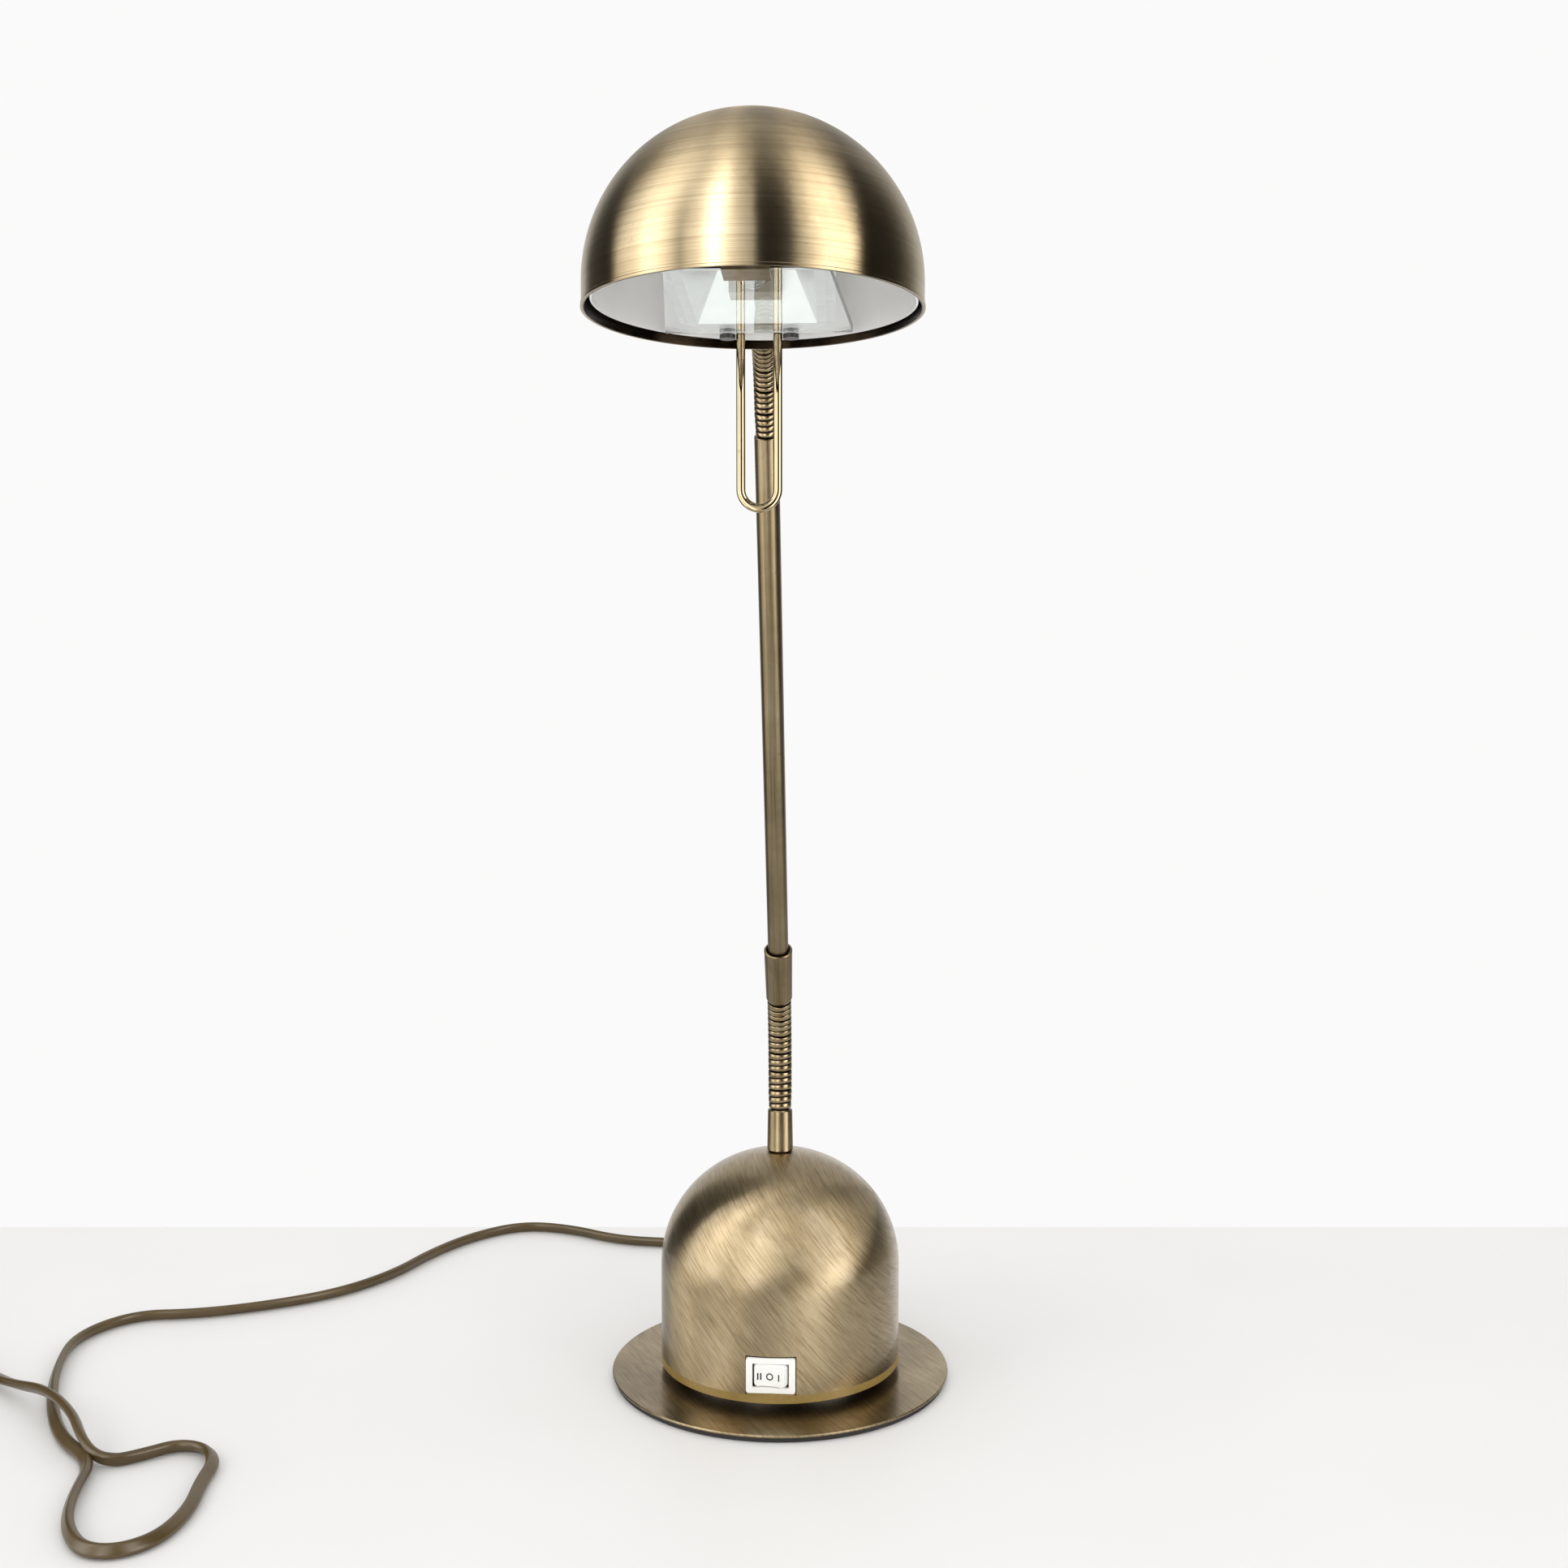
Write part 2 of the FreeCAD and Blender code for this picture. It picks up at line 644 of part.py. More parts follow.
def build_rocker():
    """A concave key inside a circle about its pivot, tilted so that its left side is pressed."""
    half = size("rocker_width") / 2
    proud, dish, depth = size("rocker_proud"), size("rocker_dish"), size("rocker_depth")
    edge_angle = math.asin((proud + dish) / half)
    foot_angle = math.asin(-depth / half)
    corners = [Vector(-half * math.cos(edge_angle), half * math.sin(edge_angle), 0),
               Vector(half * math.cos(edge_angle), half * math.sin(edge_angle), 0),
               Vector(half * math.cos(foot_angle), half * math.sin(foot_angle), 0),
               Vector(-half * math.cos(foot_angle), half * math.sin(foot_angle), 0)]
    edges = [Part.Arc(corners[0], Vector(0, proud, 0), corners[1]).toShape(),
             Part.Arc(corners[1], Vector(half, 0, 0), corners[2]).toShape(),
             Part.LineSegment(corners[2], corners[3]).toShape(),
             Part.Arc(corners[3], Vector(-half, 0, 0), corners[0]).toShape()]
    height = size("rocker_height")
    key = Part.Face(Part.Wire(edges)).extrude(Vector(0, 0, height))
    reach = height + 2 * (size("rocker_gap") + size("switch_roof") - size("hole_gap"))
    pin = Part.makeCylinder(size("trunnion_radius"), reach, Vector(0, 0, (height - reach) / 2))
    shape = key.fuse(pin).removeSplitter()
    shape.translate(Vector(0, 0, -height / 2))
    # the outline's +Y is the switch's outward direction, so it is turned to face -Y, and the
    # tilt then presses the side at -X
    facing = Rotation(Z_AXIS, 180 - size("rocker_tilt"))
    place = Placement(Vector(0, -size("pivot_back"), size("bezel_middle")), facing)
    shape_piece(shape, "rocker", turned().multiply(place))


# ---------------------------------------------------------------- lead outlet and ferrule
def build_relief():
    tip = "relief_start + relief_flange + relief_length"
    profile = revolved("relief_turned", [
        ("0", "relief_start - 4"), ("relief_spigot", "relief_start - 4"),
        ("relief_spigot", "relief_start"), ("relief_radius", "relief_start"),
        ("relief_radius", "relief_start + relief_flange"),
        ("relief_spigot + relief_shoulder", "relief_start + relief_flange"),
        ("relief_tip", tip), ("0", tip)])
    place = turned().multiply(Placement(Vector(0, 0, size("outlet_height")), ALONG_BACK))
    piece(profile, "cord_relief", place)


def build_ferrule():
    """Ferrule on the dome, its spigot through the shell, and the nut below; a ball socket on top."""
    gap = "lower_hinge_gap / 2"
    lip = "0.5"
    turned_body = revolved("ferrule_turned", [
        ("lower_bore", "ferrule_bottom - ferrule_drop"),
        ("ferrule_spigot", "ferrule_bottom - ferrule_drop"),
        ("ferrule_spigot", "ferrule_bottom"), ("ferrule_bottom_radius - %s" % lip, "ferrule_bottom"),
        ("ferrule_bottom_radius", "ferrule_bottom + %s" % lip),
        ("ferrule_top_radius", "ferrule_top - %s - %s" % (gap, lip)),
        ("ferrule_top_radius - %s" % lip, "ferrule_top - %s" % gap),
        ("lower_bore", "ferrule_top - %s" % gap)])
    socket = sphere("ferrule_socket", "lower_ball + ball_fit", Vector(0, 0, size("ferrule_top")))
    piece(cut("neck_ferrule", turned_body, socket), "neck_ferrule")
    ceiling = size("housing_inner")
    drop = (size("dome_height") - size("housing_wall")) * (
        1 - math.sqrt(1 - (size("ferrule_nut_radius") / ceiling) ** 2))
    nut_top = size("housing_top") - size("housing_wall") - drop - size("hole_gap")
    piece(hexagon("ferrule_nut", "ferrule_nut_radius", "ferrule_nut_height",
                  nut_top - size("ferrule_nut_height"), "ferrule_spigot + thread_fit"), "ferrule_nut")


# ---------------------------------------------------------------- ribbed flexible necks
def heading(angle):
    """Unit vector leaning towards -Y by angle degrees from straight up."""
    return Vector(0, -math.sin(math.radians(angle)), math.cos(math.radians(angle)))


def circle(radius, centre, angle):
    """Circle square to the heading, with its own X axis kept along the lamp's X axis."""
    edge = Part.makeCircle(radius)
    edge.Placement = Placement(centre, Rotation(X_AXIS, angle))
    return Part.Wire([edge])


def rib_axes(start, angles, pitch):
    """The straight axis of each rib in turn: its start, its end and its lean."""
    axes = []
    point = start
    for angle in angles:
        end = point + heading(angle) * pitch
        axes.append((point, end, angle))
        point = end
    return axes


def neck_segment(ribs, prefix, low_lean, high_lean):
    """One rigid stretch of a neck: ribs, bore, a hollow ball below and a ball socket above.

    low_lean and high_lean are the leans of its two end faces.
    """
    radius, depth = size(prefix + "_radius"), size(prefix + "_groove_depth")
    groove, gap = size(prefix + "_groove") / 2, size(prefix + "_hinge_gap") / 2
    ball, bore = size(prefix + "_ball"), size(prefix + "_bore")
    rings = []
    for index, (start, end, angle) in enumerate(ribs):
        first, last = index == 0, index == len(ribs) - 1
        low, low_angle = (gap, low_lean) if first else (groove, angle)
        high, high_angle = (gap, high_lean) if last else (groove, angle)
        low_radius = radius - (RIB_EDGE if first else depth)
        high_radius = radius - (RIB_EDGE if last else depth)
        rings += [circle(low_radius, start + heading(low_angle) * low, low_angle),
                  circle(radius, start + heading(low_angle) * (low + RIB_EDGE), low_angle),
                  circle(radius, end - heading(high_angle) * (high + RIB_EDGE), high_angle),
                  circle(high_radius, end - heading(high_angle) * high, high_angle)]
    outside = Part.makeLoft(rings, True, True)
    bottom, top = ribs[0][0], ribs[-1][1]
    reach = ball * BALL_REACH
    keep = Part.makeCylinder(ball + 1, ball + reach)
    keep.Placement = Placement(bottom - heading(low_lean) * reach, Rotation(X_AXIS, low_lean))
    knob = Part.makeSphere(ball, bottom).common(keep)
    trim = Part.makeCylinder(ball + 1, ball + 1)
    trim.Placement = Placement(bottom + heading(low_lean) * (gap + groove),
                               Rotation(X_AXIS, low_lean))
    solid = outside.fuse(knob.cut(trim))
    bores = [circle(bore, bottom - heading(low_lean) * (ball + 1), low_lean)]
    bores += [circle(bore, start, angle) for start, end, angle in ribs]
    bores.append(circle(bore, top + heading(high_lean) * SHORT, high_lean))
    solid = solid.cut(Part.makeLoft(bores, True, True))
    solid = solid.cut(Part.makeSphere(ball + size("ball_fit"), top))
    return solid


def lower_angles():
    """Lean of each rib of the lower neck: it bends more and more towards its top."""
    count = LOWER_SEGMENTS * LOWER_RIBS
    for index in range(count):
        share = min(1.0, (index + 0.5) / count / LOWER_CURVED_SHARE)
        yield size("arm_tilt") * share ** 2


def upper_angles():
    """Lean of each rib of the upper neck: straight out of the rod, then a steady bend."""
    for index in range(UPPER_SEGMENTS * UPPER_RIBS):
        middle = (index + 0.5) * size("upper_pitch")
        bent = max(0.0, middle - size("upper_straight")) / size("upper_bend_radius")
        yield size("arm_tilt") + math.degrees(bent)


lower_ribs = rib_axes(Vector(0, 0, size("ferrule_top")), lower_angles(), size("lower_pitch"))
arm_start = lower_ribs[-1][1]
arm_angle = size("arm_tilt")
arm_along = heading(arm_angle)
sleeve_mouth = arm_start + arm_along * (size("lower_hinge_gap") / 2 + size("sleeve_length"))
rod_end = sleeve_mouth + arm_along * (size("rod_length") - size("rod_recess"))
upper_start = rod_end + arm_along * (size("upper_hinge_gap") / 2)
upper_ribs = rib_axes(upper_start, upper_angles(), size("upper_pitch"))
upper_end = upper_ribs[-1][1]
upper_end_angle = upper_ribs[-1][2]


def neck_hinges(ribs, ribs_each):
    """Each hinge point of a neck, both ends included, with the mean lean of the ribs that meet."""
    hinges = []
    for index in range(0, len(ribs) + 1, ribs_each):
        below = ribs[max(index - 1, 0)]
        above = ribs[min(index, len(ribs) - 1)]
        point = above[0] if index < len(ribs) else below[1]
        hinges.append((point, (below[2] + above[2]) / 2))
    return hinges


lower_hinges = neck_hinges(lower_ribs, LOWER_RIBS)
upper_hinges = neck_hinges(upper_ribs, UPPER_RIBS)


def build_necks():
    for ribs, each, hinges, prefix in ((lower_ribs, LOWER_RIBS, lower_hinges, "lower"),
                                       (upper_ribs, UPPER_RIBS, upper_hinges, "upper")):
        for number in range(len(ribs) // each):
            stretch = ribs[number * each:(number + 1) * each]
            low_lean, high_lean = hinges[number][1], hinges[number + 1][1]
            shape = neck_segment(stretch, prefix, low_lean, high_lean)
            shape_piece(shape, "%s_neck_%d" % (prefix, number + 1))


# ---------------------------------------------------------------- sleeve and rod
def build_arm():
    """All three are turned about Z from the hinge point below them, then leaned into place."""
    place = Placement(arm_start, Rotation(X_AXIS, arm_angle))
    low = "lower_hinge_gap / 2"
    top = low + " + sleeve_length"
    sleeve = revolved("sleeve_turned", [
        ("lower_bore", low), ("sleeve_bottom_radius - 1.4", low),
        ("sleeve_bottom_radius - 0.4", low + " + 0.5"), ("sleeve_bottom_radius", low + " + 1.6"),
        ("sleeve_top_radius", top + " - 0.3"), ("sleeve_top_radius - 0.3", top),
        ("sleeve_bore", top), ("sleeve_bore", low + " + sleeve_floor"),
        ("lower_bore", low + " + sleeve_floor")])
    neck = doc.addObject("Part::Feature", "sleeve_ball")
    ball = size("lower_ball")
    reach = ball * BALL_REACH
    knob = Part.makeSphere(ball).common(Part.makeCylinder(ball, reach + 1.2, Vector(0, 0, -reach)))
    neck.Shape = knob.cut(Part.makeCylinder(size("lower_bore"), 4 * ball, Vector(0, 0, -2 * ball)))
    piece(joined("arm_sleeve", sleeve, neck), "arm_sleeve", Placement(place))

    plug_top = top + " - rod_recess"
    piece(revolved("plug_turned", [
        ("upper_bore", low + " + sleeve_floor"), ("sleeve_bore - close_fit", low + " + sleeve_floor"),
        ("sleeve_bore - close_fit", plug_top), ("rod_bore - close_fit", plug_top),
        ("rod_bore - close_fit", plug_top + " + plug_bite"), ("upper_bore", plug_top + " + plug_bite")]),
        "rod_plug", Placement(place))

    rod_top = plug_top + " + rod_length"
    rod = revolved("rod_turned", [
        ("rod_bore", plug_top), ("rod_radius - rod_round", plug_top),
        ("rod_radius - rod_round * 0.3", plug_top + " + rod_round * 0.3"),
        ("rod_radius", plug_top + " + rod_round"), ("rod_radius", rod_top + " - 0.3"),
        ("rod_radius - 0.3", rod_top), ("upper_bore", rod_top),
        ("upper_bore", rod_top + " - rod_top_wall"), ("rod_bore", rod_top + " - rod_top_wall")])
    socket = sphere("rod_socket", "upper_ball + ball_fit",
                    Vector(0, 0, plain(rod_top) + size("upper_hinge_gap") / 2))
    piece(cut("arm_rod", rod, socket), "arm_rod", Placement(place))


# ---------------------------------------------------------------- shade
# The fitting's axis is level.  The face of its flange stands off the last hinge point far enough
# for the neck's own lean there.
fitting_gap = (size("upper_hinge_gap") / 2
               + size("upper_radius") * math.tan(math.radians(90 - upper_end_angle)))
wall_back = upper_end.y - fitting_gap - size("fitting_flange")
shade_centre = Vector(0, wall_back - size("shade_radius") - 0.05,
                      upper_end.z - size("fitting_rise"))


def shade_frame():
    """The shade's own frame: origin at the middle of its rim, +Y towards the fitting."""
    return Placement(shade_centre, Rotation())


def hollow_dome(name, radius, wall, skirt, dome, low):
    """Cylinder and half ellipsoid with the same thing inside it taken away."""
    top = plain("%s + %s" % (low, skirt))
    start = plain(low)
    outer = joined(name + "_outer", cylinder(name + "_skirt", radius, skirt, z=start),
                   half_ellipsoid(name + "_dome", radius, dome, top))
    room = "%s - %s" % (radius, wall)
    inner = joined(name + "_inner",
                   cylinder(name + "_room", room, "%s + 1" % skirt, z=start - 1),
                   half_ellipsoid(name + "_ceiling", room, "%s - %s" % (dome, wall), top))
    return cut(name + "_hollow", outer, inner)


def build_shade():
    through = "fitting_spigot + hole_gap"
    shell = hollow_dome("shade", "shade_radius", "shade_wall", "shade_skirt", "shade_dome", "0")
    lip = revolved("shade_lip", [
        ("shade_inner + 0.2", "0"), ("shade_radius + lip_width", "0"),
        ("shade_radius + lip_width", "lip_height - lip_width"), ("shade_radius", "lip_height"),
        ("shade_inner + 0.2", "lip_height")])
    hole = cylinder("shade_hole", through, "shade_wall * 10",
                    y=size("shade_radius") - 5 * size("shade_wall"), z=size("fitting_rise"),
                    rotation=ALONG_BACK)
    piece(cut("shade_shell", joined("shade_lipped", shell, lip), hole), "shade_shell",
          shade_frame())

    liner = hollow_dome("liner", "liner_outer", "liner_wall", "shade_skirt - liner_rise",
                        "shade_dome - shade_wall - liner_gap", "liner_rise")
    liner_hole = cylinder("liner_hole", through + " + liner_shift", "liner_wall * 16",
                          y=size("liner_outer") - 8 * size("liner_wall"),
                          z=size("fitting_rise"), rotation=ALONG_BACK)
    tilt = Placement(Vector(size("liner_shift"), 0, 0), Rotation(Y_AXIS, size("liner_tilt")))
    piece(cut("shade_liner", liner, liner_hole), "shade_liner", shade_frame().multiply(tilt))


def build_fitting():
    """Turned about Z in its own frame, +Z pointing from the hinge into the shade."""
    hinge_back = -(shade_centre.y - upper_end.y)
    place = shade_frame().multiply(Placement(
        Vector(0, hinge_back, size("fitting_rise")), ALONG_FRONT))
    flange = fitting_gap
    inside = hinge_back - size("leg_outer") + size("carrier_sheet")
    nut_face = inside
    end = nut_face + size("fitting_nut_height") + 0.8
    bore = size("upper_bore")
    spigot, radius = size("fitting_spigot"), size("fitting_radius")
    flange_end = flange + size("fitting_flange")
    solid = Part.makeCylinder(radius, flange_end - flange, Vector(0, 0, flange))
    solid = solid.fuse(Part.makeCylinder(spigot, end - flange, Vector(0, 0, flange)))
    ball = size("upper_ball")
    reach = ball * BALL_REACH
    knob = Part.makeSphere(ball).common(Part.makeCylinder(ball, 2 * reach, Vector(0, 0, -reach)))
    neck = Part.makeCylinder(ball * 0.85, flange, Vector(0, 0, 0.3))
    solid = solid.fuse([knob, neck])
    solid = solid.cut(Part.makeCylinder(bore, end + 4 * ball, Vector(0, 0, -2 * ball)))
    shape_piece(solid.removeSplitter(), "shade_fitting", place)

    spacer_radius = spigot + 1.4
    above_skirt = size("fitting_rise") + spacer_radius - size("shade_skirt")
    share = above_skirt / (size("shade_dome") - size("shade_wall"))
    shell_side = hinge_back - (size("shade_inner") * math.sqrt(1 - share ** 2) - 0.1)
    liner_side = hinge_back - (size("liner_outer") + 0.2)
    ring = Part.makeCylinder(spacer_radius, liner_side - shell_side, Vector(0, 0, shell_side))
    ring = ring.cut(Part.makeCylinder(spigot + size("close_fit"), liner_side, Vector(0, 0, 0)))
    shape_piece(ring, "fitting_spacer", place)
    nut_place = place.multiply(Placement(Vector(0, 0, nut_face), Rotation()))
    piece(hexagon("fitting_nut", "fitting_nut_radius", "fitting_nut_height", 0.0,
                  "fitting_spigot + thread_fit"), "fitting_nut", nut_place)


def build_carrier():
    """The lamp carrier: a window frame over the glass with a tongue and a leg to the fitting."""
    front = "-(pane_front + carrier_nose)"
    shoulder = "-(dish_front - 8)"
    rear = "handle_back + 2.6"
    half = "carrier_width / 2"
    tip = "leg_outer"
    outline = [("carrier_front_width / 2", front), (half, shoulder), (half, "dish_rear"),
               ("clip_spread / 2 + carrier_margin", rear), ("carrier_tongue / 2", rear),
               ("carrier_tongue / 2", tip), ("-carrier_tongue / 2", tip),
               ("-carrier_tongue / 2", rear), ("-(clip_spread / 2 + carrier_margin)", rear),
               ("-(%s)" % half, "dish_rear"), ("-(%s)" % half, shoulder),
               ("-carrier_front_width / 2", front)]
    plate = padded("carrier_plate", outline, "carrier_sheet", size("flange_top"))
    opening_width = "dish_width + 1"
    opening_length = "dish_front + dish_rear + 1"
    window = block("carrier_window", opening_width, opening_length, "carrier_sheet + 2",
                   -plain(opening_width) / 2, -size("dish_front") - 0.5, size("flange_top") - 1)
    leg_height = "fitting_rise - flange_top + fitting_spigot + 2.4"
    leg = block("carrier_leg", "carrier_tongue", "carrier_sheet", leg_height,
                -size("carrier_tongue") / 2, size("leg_outer") - size("carrier_sheet"),
                size("flange_top"))
    holes = [cylinder("carrier_eye", "fitting_spigot + hole_gap", "carrier_sheet + 2",
                      y=size("leg_outer") - size("carrier_sheet") - 1, z=size("fitting_rise"),
                      rotation=ALONG_BACK)]
    for side in (-0.5, 0.5):
        holes.append(cylinder("carrier_handle_hole_%d" % (side + 1), "handle_wire + hole_gap",
                              "carrier_sheet + 2", side * size("handle_spread"),
                              size("handle_back"), size("flange_top") - 1))
        holes.append(cylinder("carrier_clip_hole_%d" % (side + 1), "clip_shank + hole_gap",
                              "carrier_sheet + 2", side * size("clip_spread"),
                              size("handle_back"), size("flange_top") - 1))
    piece(cut("lamp_carrier", joined("carrier_bent", plate, leg), window, *holes),
          "lamp_carrier", shade_frame())


def frustum(name, width, front, rear, height, draft, inset, low):
    """A block narrowing upwards by draft on each side, its lower edge inset by inset."""
    wedge = doc.addObject("Part::Wedge", name)
    bound(wedge, Xmin="-(%s) / 2 + %s" % (width, inset), Xmax="(%s) / 2 - %s" % (width, inset),
          Zmin="-(%s) + %s" % (rear, inset), Zmax="%s - %s" % (front, inset), Ymin="0",
          Ymax=height,
          X2min="-(%s) / 2 + %s + %s" % (width, inset, draft),
          X2max="(%s) / 2 - %s - %s" % (width, inset, draft),
          Z2min="-(%s) + %s + %s" % (rear, inset, draft),
          Z2max="%s - %s - %s" % (front, inset, draft))
    return at(wedge, z=low, rotation=ALONG_FRONT)


def build_reflector():
    """A pressed dish open towards the glass, with a flat flange round its mouth."""
    low = size("flange_bottom")
    outer = frustum("dish_outer", "dish_width", "dish_front", "dish_rear",
                    "dish_height + dish_sheet", "dish_draft", "0", low)
    inner = frustum("dish_inner", "dish_width", "dish_front", "dish_rear", "dish_height",
                    "dish_draft", "dish_sheet", low - 0.001)
    flange = block("dish_rim", "dish_width + 2 * dish_flange",
                   "dish_front + dish_rear + 2 * dish_flange", "dish_sheet",
                   -size("dish_width") / 2 - size("dish_flange"),
                   -size("dish_front") - size("dish_flange"), low)
    piece(cut("reflector_dish", joined("dish_joined", outer, flange), inner), "reflector_dish",
          shade_frame())


def build_lamp():
    """Ceramic holder under the dish's roof and a two-pin halogen capsule lying along Y."""
    roof = size("flange_bottom") + size("dish_height") - 0.2
    height = size("holder_height")
    rear = size("dish_rear") - size("dish_draft") - 2 * size("dish_sheet") - 0.3
    axis = roof - size("dish_sheet") - size("capsule_radius") - 0.4
    front = rear - size("holder_depth")
    body = block("holder_body", "holder_width", "holder_depth", "holder_height",
                 -size("holder_width") / 2, front, roof - height)
    sockets = [cylinder("holder_socket_%d" % (side + 1), "pin_radius + close_fit",
                        "pin_length", side * size("pin_spread"), front, axis,
                        ALONG_BACK) for side in (-0.5, 0.5)]
    piece(cut("lamp_holder", body, *sockets), "lamp_holder", shade_frame())

    radius, pinch = size("capsule_radius"), size("pinch_length")
    straight = size("capsule_length") - pinch - radius
    tube = Part.makeCylinder(radius, straight, Vector(0, 0, pinch))
    tip = Part.makeSphere(radius, Vector(0, 0, pinch + straight))
    neck = Part.makeCone(radius * 0.45, radius, pinch * 0.35, Vector(0, 0, pinch * 0.65))
    flat = Part.makeBox(radius * 1.6, size("pinch_thickness"), pinch * 0.8,
                        Vector(-radius * 0.8, -size("pinch_thickness") / 2, 0.3))
    glass = tube.fuse([tip, neck, flat])
    for side in (-0.5, 0.5):
        glass = glass.cut(Part.makeCylinder(size("pin_radius") + size("thread_fit"), 3.0,
                                            Vector(side * size("pin_spread"), 0, 0)))
    place = shade_frame().multiply(Placement(Vector(0, front, axis), ALONG_FRONT))
    shape_piece(glass, "halogen_capsule", place)
    pins = [cylinder("capsule_pin_%d" % (side + 1), "pin_radius", "pin_length + 2",
                     side * size("pin_spread"), front - 2.9, axis, ALONG_BACK)
            for side in (-0.5, 0.5)]
    piece(joined("capsule_pins", *pins), "capsule_pins", shade_frame())


def build_glass():
    half_front, half_rear = "pane_front_width / 2", "pane_rear_width / 2"
    pane = padded("pane_raised", [("-(%s)" % half_front, "-pane_front"), (half_front, "-pane_front"),
                                  (half_rear, "pane_rear"), ("-(%s)" % half_rear, "pane_rear")],
                  "pane_thickness", size("pane_rise"))
    piece(pane, "glass_pane", shade_frame())

    sheet, gap = size("bracket_sheet"), 0.1
    front, width = size("pane_front") + size("carrier_nose") + gap, size("bracket_width")
    low, top = size("pane_rise") - gap - sheet, size("carrier_top") + gap + sheet
    under = block("bracket_under", "bracket_width", "bracket_reach", "bracket_sheet",
                  -width / 2, -front - sheet, low)
    web = block("bracket_web", "bracket_width", "bracket_sheet", "1", -width / 2, -front - sheet,
                low)
    bound(web, Height="carrier_top - pane_rise + 2 * bracket_sheet + 0.2")
    over = block("bracket_over", "bracket_width", "bracket_reach / 2", "bracket_sheet",
                 -width / 2, -front - sheet, top - sheet)
    piece(joined("front_bracket", under, web, over), "front_bracket", shade_frame())

    clips = []
    for side in (-0.5, 0.5):
        x, y = side * size("clip_spread"), size("handle_back")
        head_top = size("pane_rise") - 0.1
        clips.append(cylinder("clip_head_%d" % (side + 1), "clip_head", "clip_head_height", x, y,
                              head_top - size("clip_head_height")))
        clips.append(cylinder("clip_shank_%d" % (side + 1), "clip_shank",
                              "carrier_top - pane_rise + 2.5", x, y, head_top - 0.2))
    piece(joined("rear_clips", *clips), "rear_clips", shade_frame())


def build_handle():
    """A wire loop: two legs up through the carrier and a half round below, and its two nuts."""
    wire, spread = size("handle_wire"), size("handle_spread") / 2
    back, top = size("handle_back"), size("carrier_top") + size("handle_nut_height") + 1.0
    low = -size("handle_drop") + wire + spread
    path = Part.Wire([
        Part.LineSegment(Vector(-spread, back, top), Vector(-spread, back, low)).toShape(),
        Part.Arc(Vector(-spread, back, low), Vector(0, back, low - spread),
                 Vector(spread, back, low)).toShape(),
        Part.LineSegment(Vector(spread, back, low), Vector(spread, back, top)).toShape()])
    profile = Part.Wire([Part.makeCircle(wire, Vector(-spread, back, top), Vector(0, 0, -1))])
    shape_piece(path.makePipeShell([profile], True, False), "handle_loop", shade_frame())
    nuts = []
    bore = wire + size("thread_fit")
    for side in (-1, 1):
        nut = Part.makeCylinder(size("handle_nut_radius"), size("handle_nut_height"),
                                Vector(side * spread, back, size("carrier_top")))
        nuts.append(nut.cut(Part.makeCylinder(bore, 2 * top, Vector(side * spread, back, 0))))
    shape_piece(Part.makeCompound(nuts), "handle_nuts", shade_frame())


# ---------------------------------------------------------------- lead
# Route of the lead on the table, from the relief's tip to where the coil starts; x, y, z of each
# point, chosen by hand.
CORD_POINTS = [
    (2, 128, 9.0), (-9, 150, 2.3), (-34, 165, 2.3), (-66, 167, 2.3),
    (-97, 171, 2.3), (-126, 189, 2.3), (-155, 195, 2.3), (-179, 176, 2.3), (-197, 145, 2.3),
    (-208, 112, 2.3), (-228, 84, 2.3), (-256, 66, 2.3), (-290, 52, 2.3), (-321, 49, 2.3),
    (-337, 20, 2.3), (-328, -16, 2.3), (-314, -50, 2.3), (-293, -86, 2.3), (-270, -106, 2.3),
    (-265, -132, 2.3), (-259, -151, 2.3), (-251, -165, 2.3), (-241, -175, 2.3), (-228, -175, 2.3),
    (-218, -164, 2.3), (-216, -143, 2.3), (-220, -122, 2.3), (-221, -105, 2.3), (-229, -93, 2.3),
    (-242, -91, 2.3), (-252, -100, 2.3), (-260, -105.5, 2.6), (-269, -105.5, 4.0),
    (-279, -96, 7.4), (-290, -80, 10.5),
    (-311, -58, 10.5), (-335, -41, 5.5),
]
COIL_ENTRY = Vector(-375.4, -9.7, 0)
COIL_HEADING = Vector(-0.81, 0.586, 0)


def filleted_path(points):
    """Straight runs joined by arcs as large as the runs allow; returns the wire and the radii."""
    edges = []
    radii = []
    start = points[0]
    for before, corner, after in zip(points, points[1:], points[2:]):
        arriving, leaving = (corner - before), (after - corner)
        shorter = min(arriving.Length, leaving.Length)
        arriving.normalize()
        leaving.normalize()
        turn = arriving.getAngle(leaving)
        trim = 0.45 * shorter
        radius = trim / math.tan(turn / 2)
        radii.append(radius)
        into, out = corner - arriving * trim, corner + leaving * trim
        middle_way = (leaving - arriving)
        middle_way.normalize()
        depth = radius * (1 / math.cos(turn / 2) - 1)
        edges.append(Part.LineSegment(start, into).toShape())
        edges.append(Part.Arc(into, corner + middle_way * depth, out).toShape())
        start = out
    edges.append(Part.LineSegment(start, points[-1]).toShape())
    return edges, radii


def swept(edges, radius, start, along):
    """A round tube along the edges, checked against its section times its length."""
    wire = Part.Wire(edges)
    profile = Part.Wire([Part.makeCircle(radius, start, along)])
    tube = wire.makePipeShell([profile], True, False)
    expected = math.pi * radius ** 2 * wire.Length
    print("tube length %.1f, volume share %.4f" % (wire.Length, tube.Volume / expected))
    return tube, wire.Length


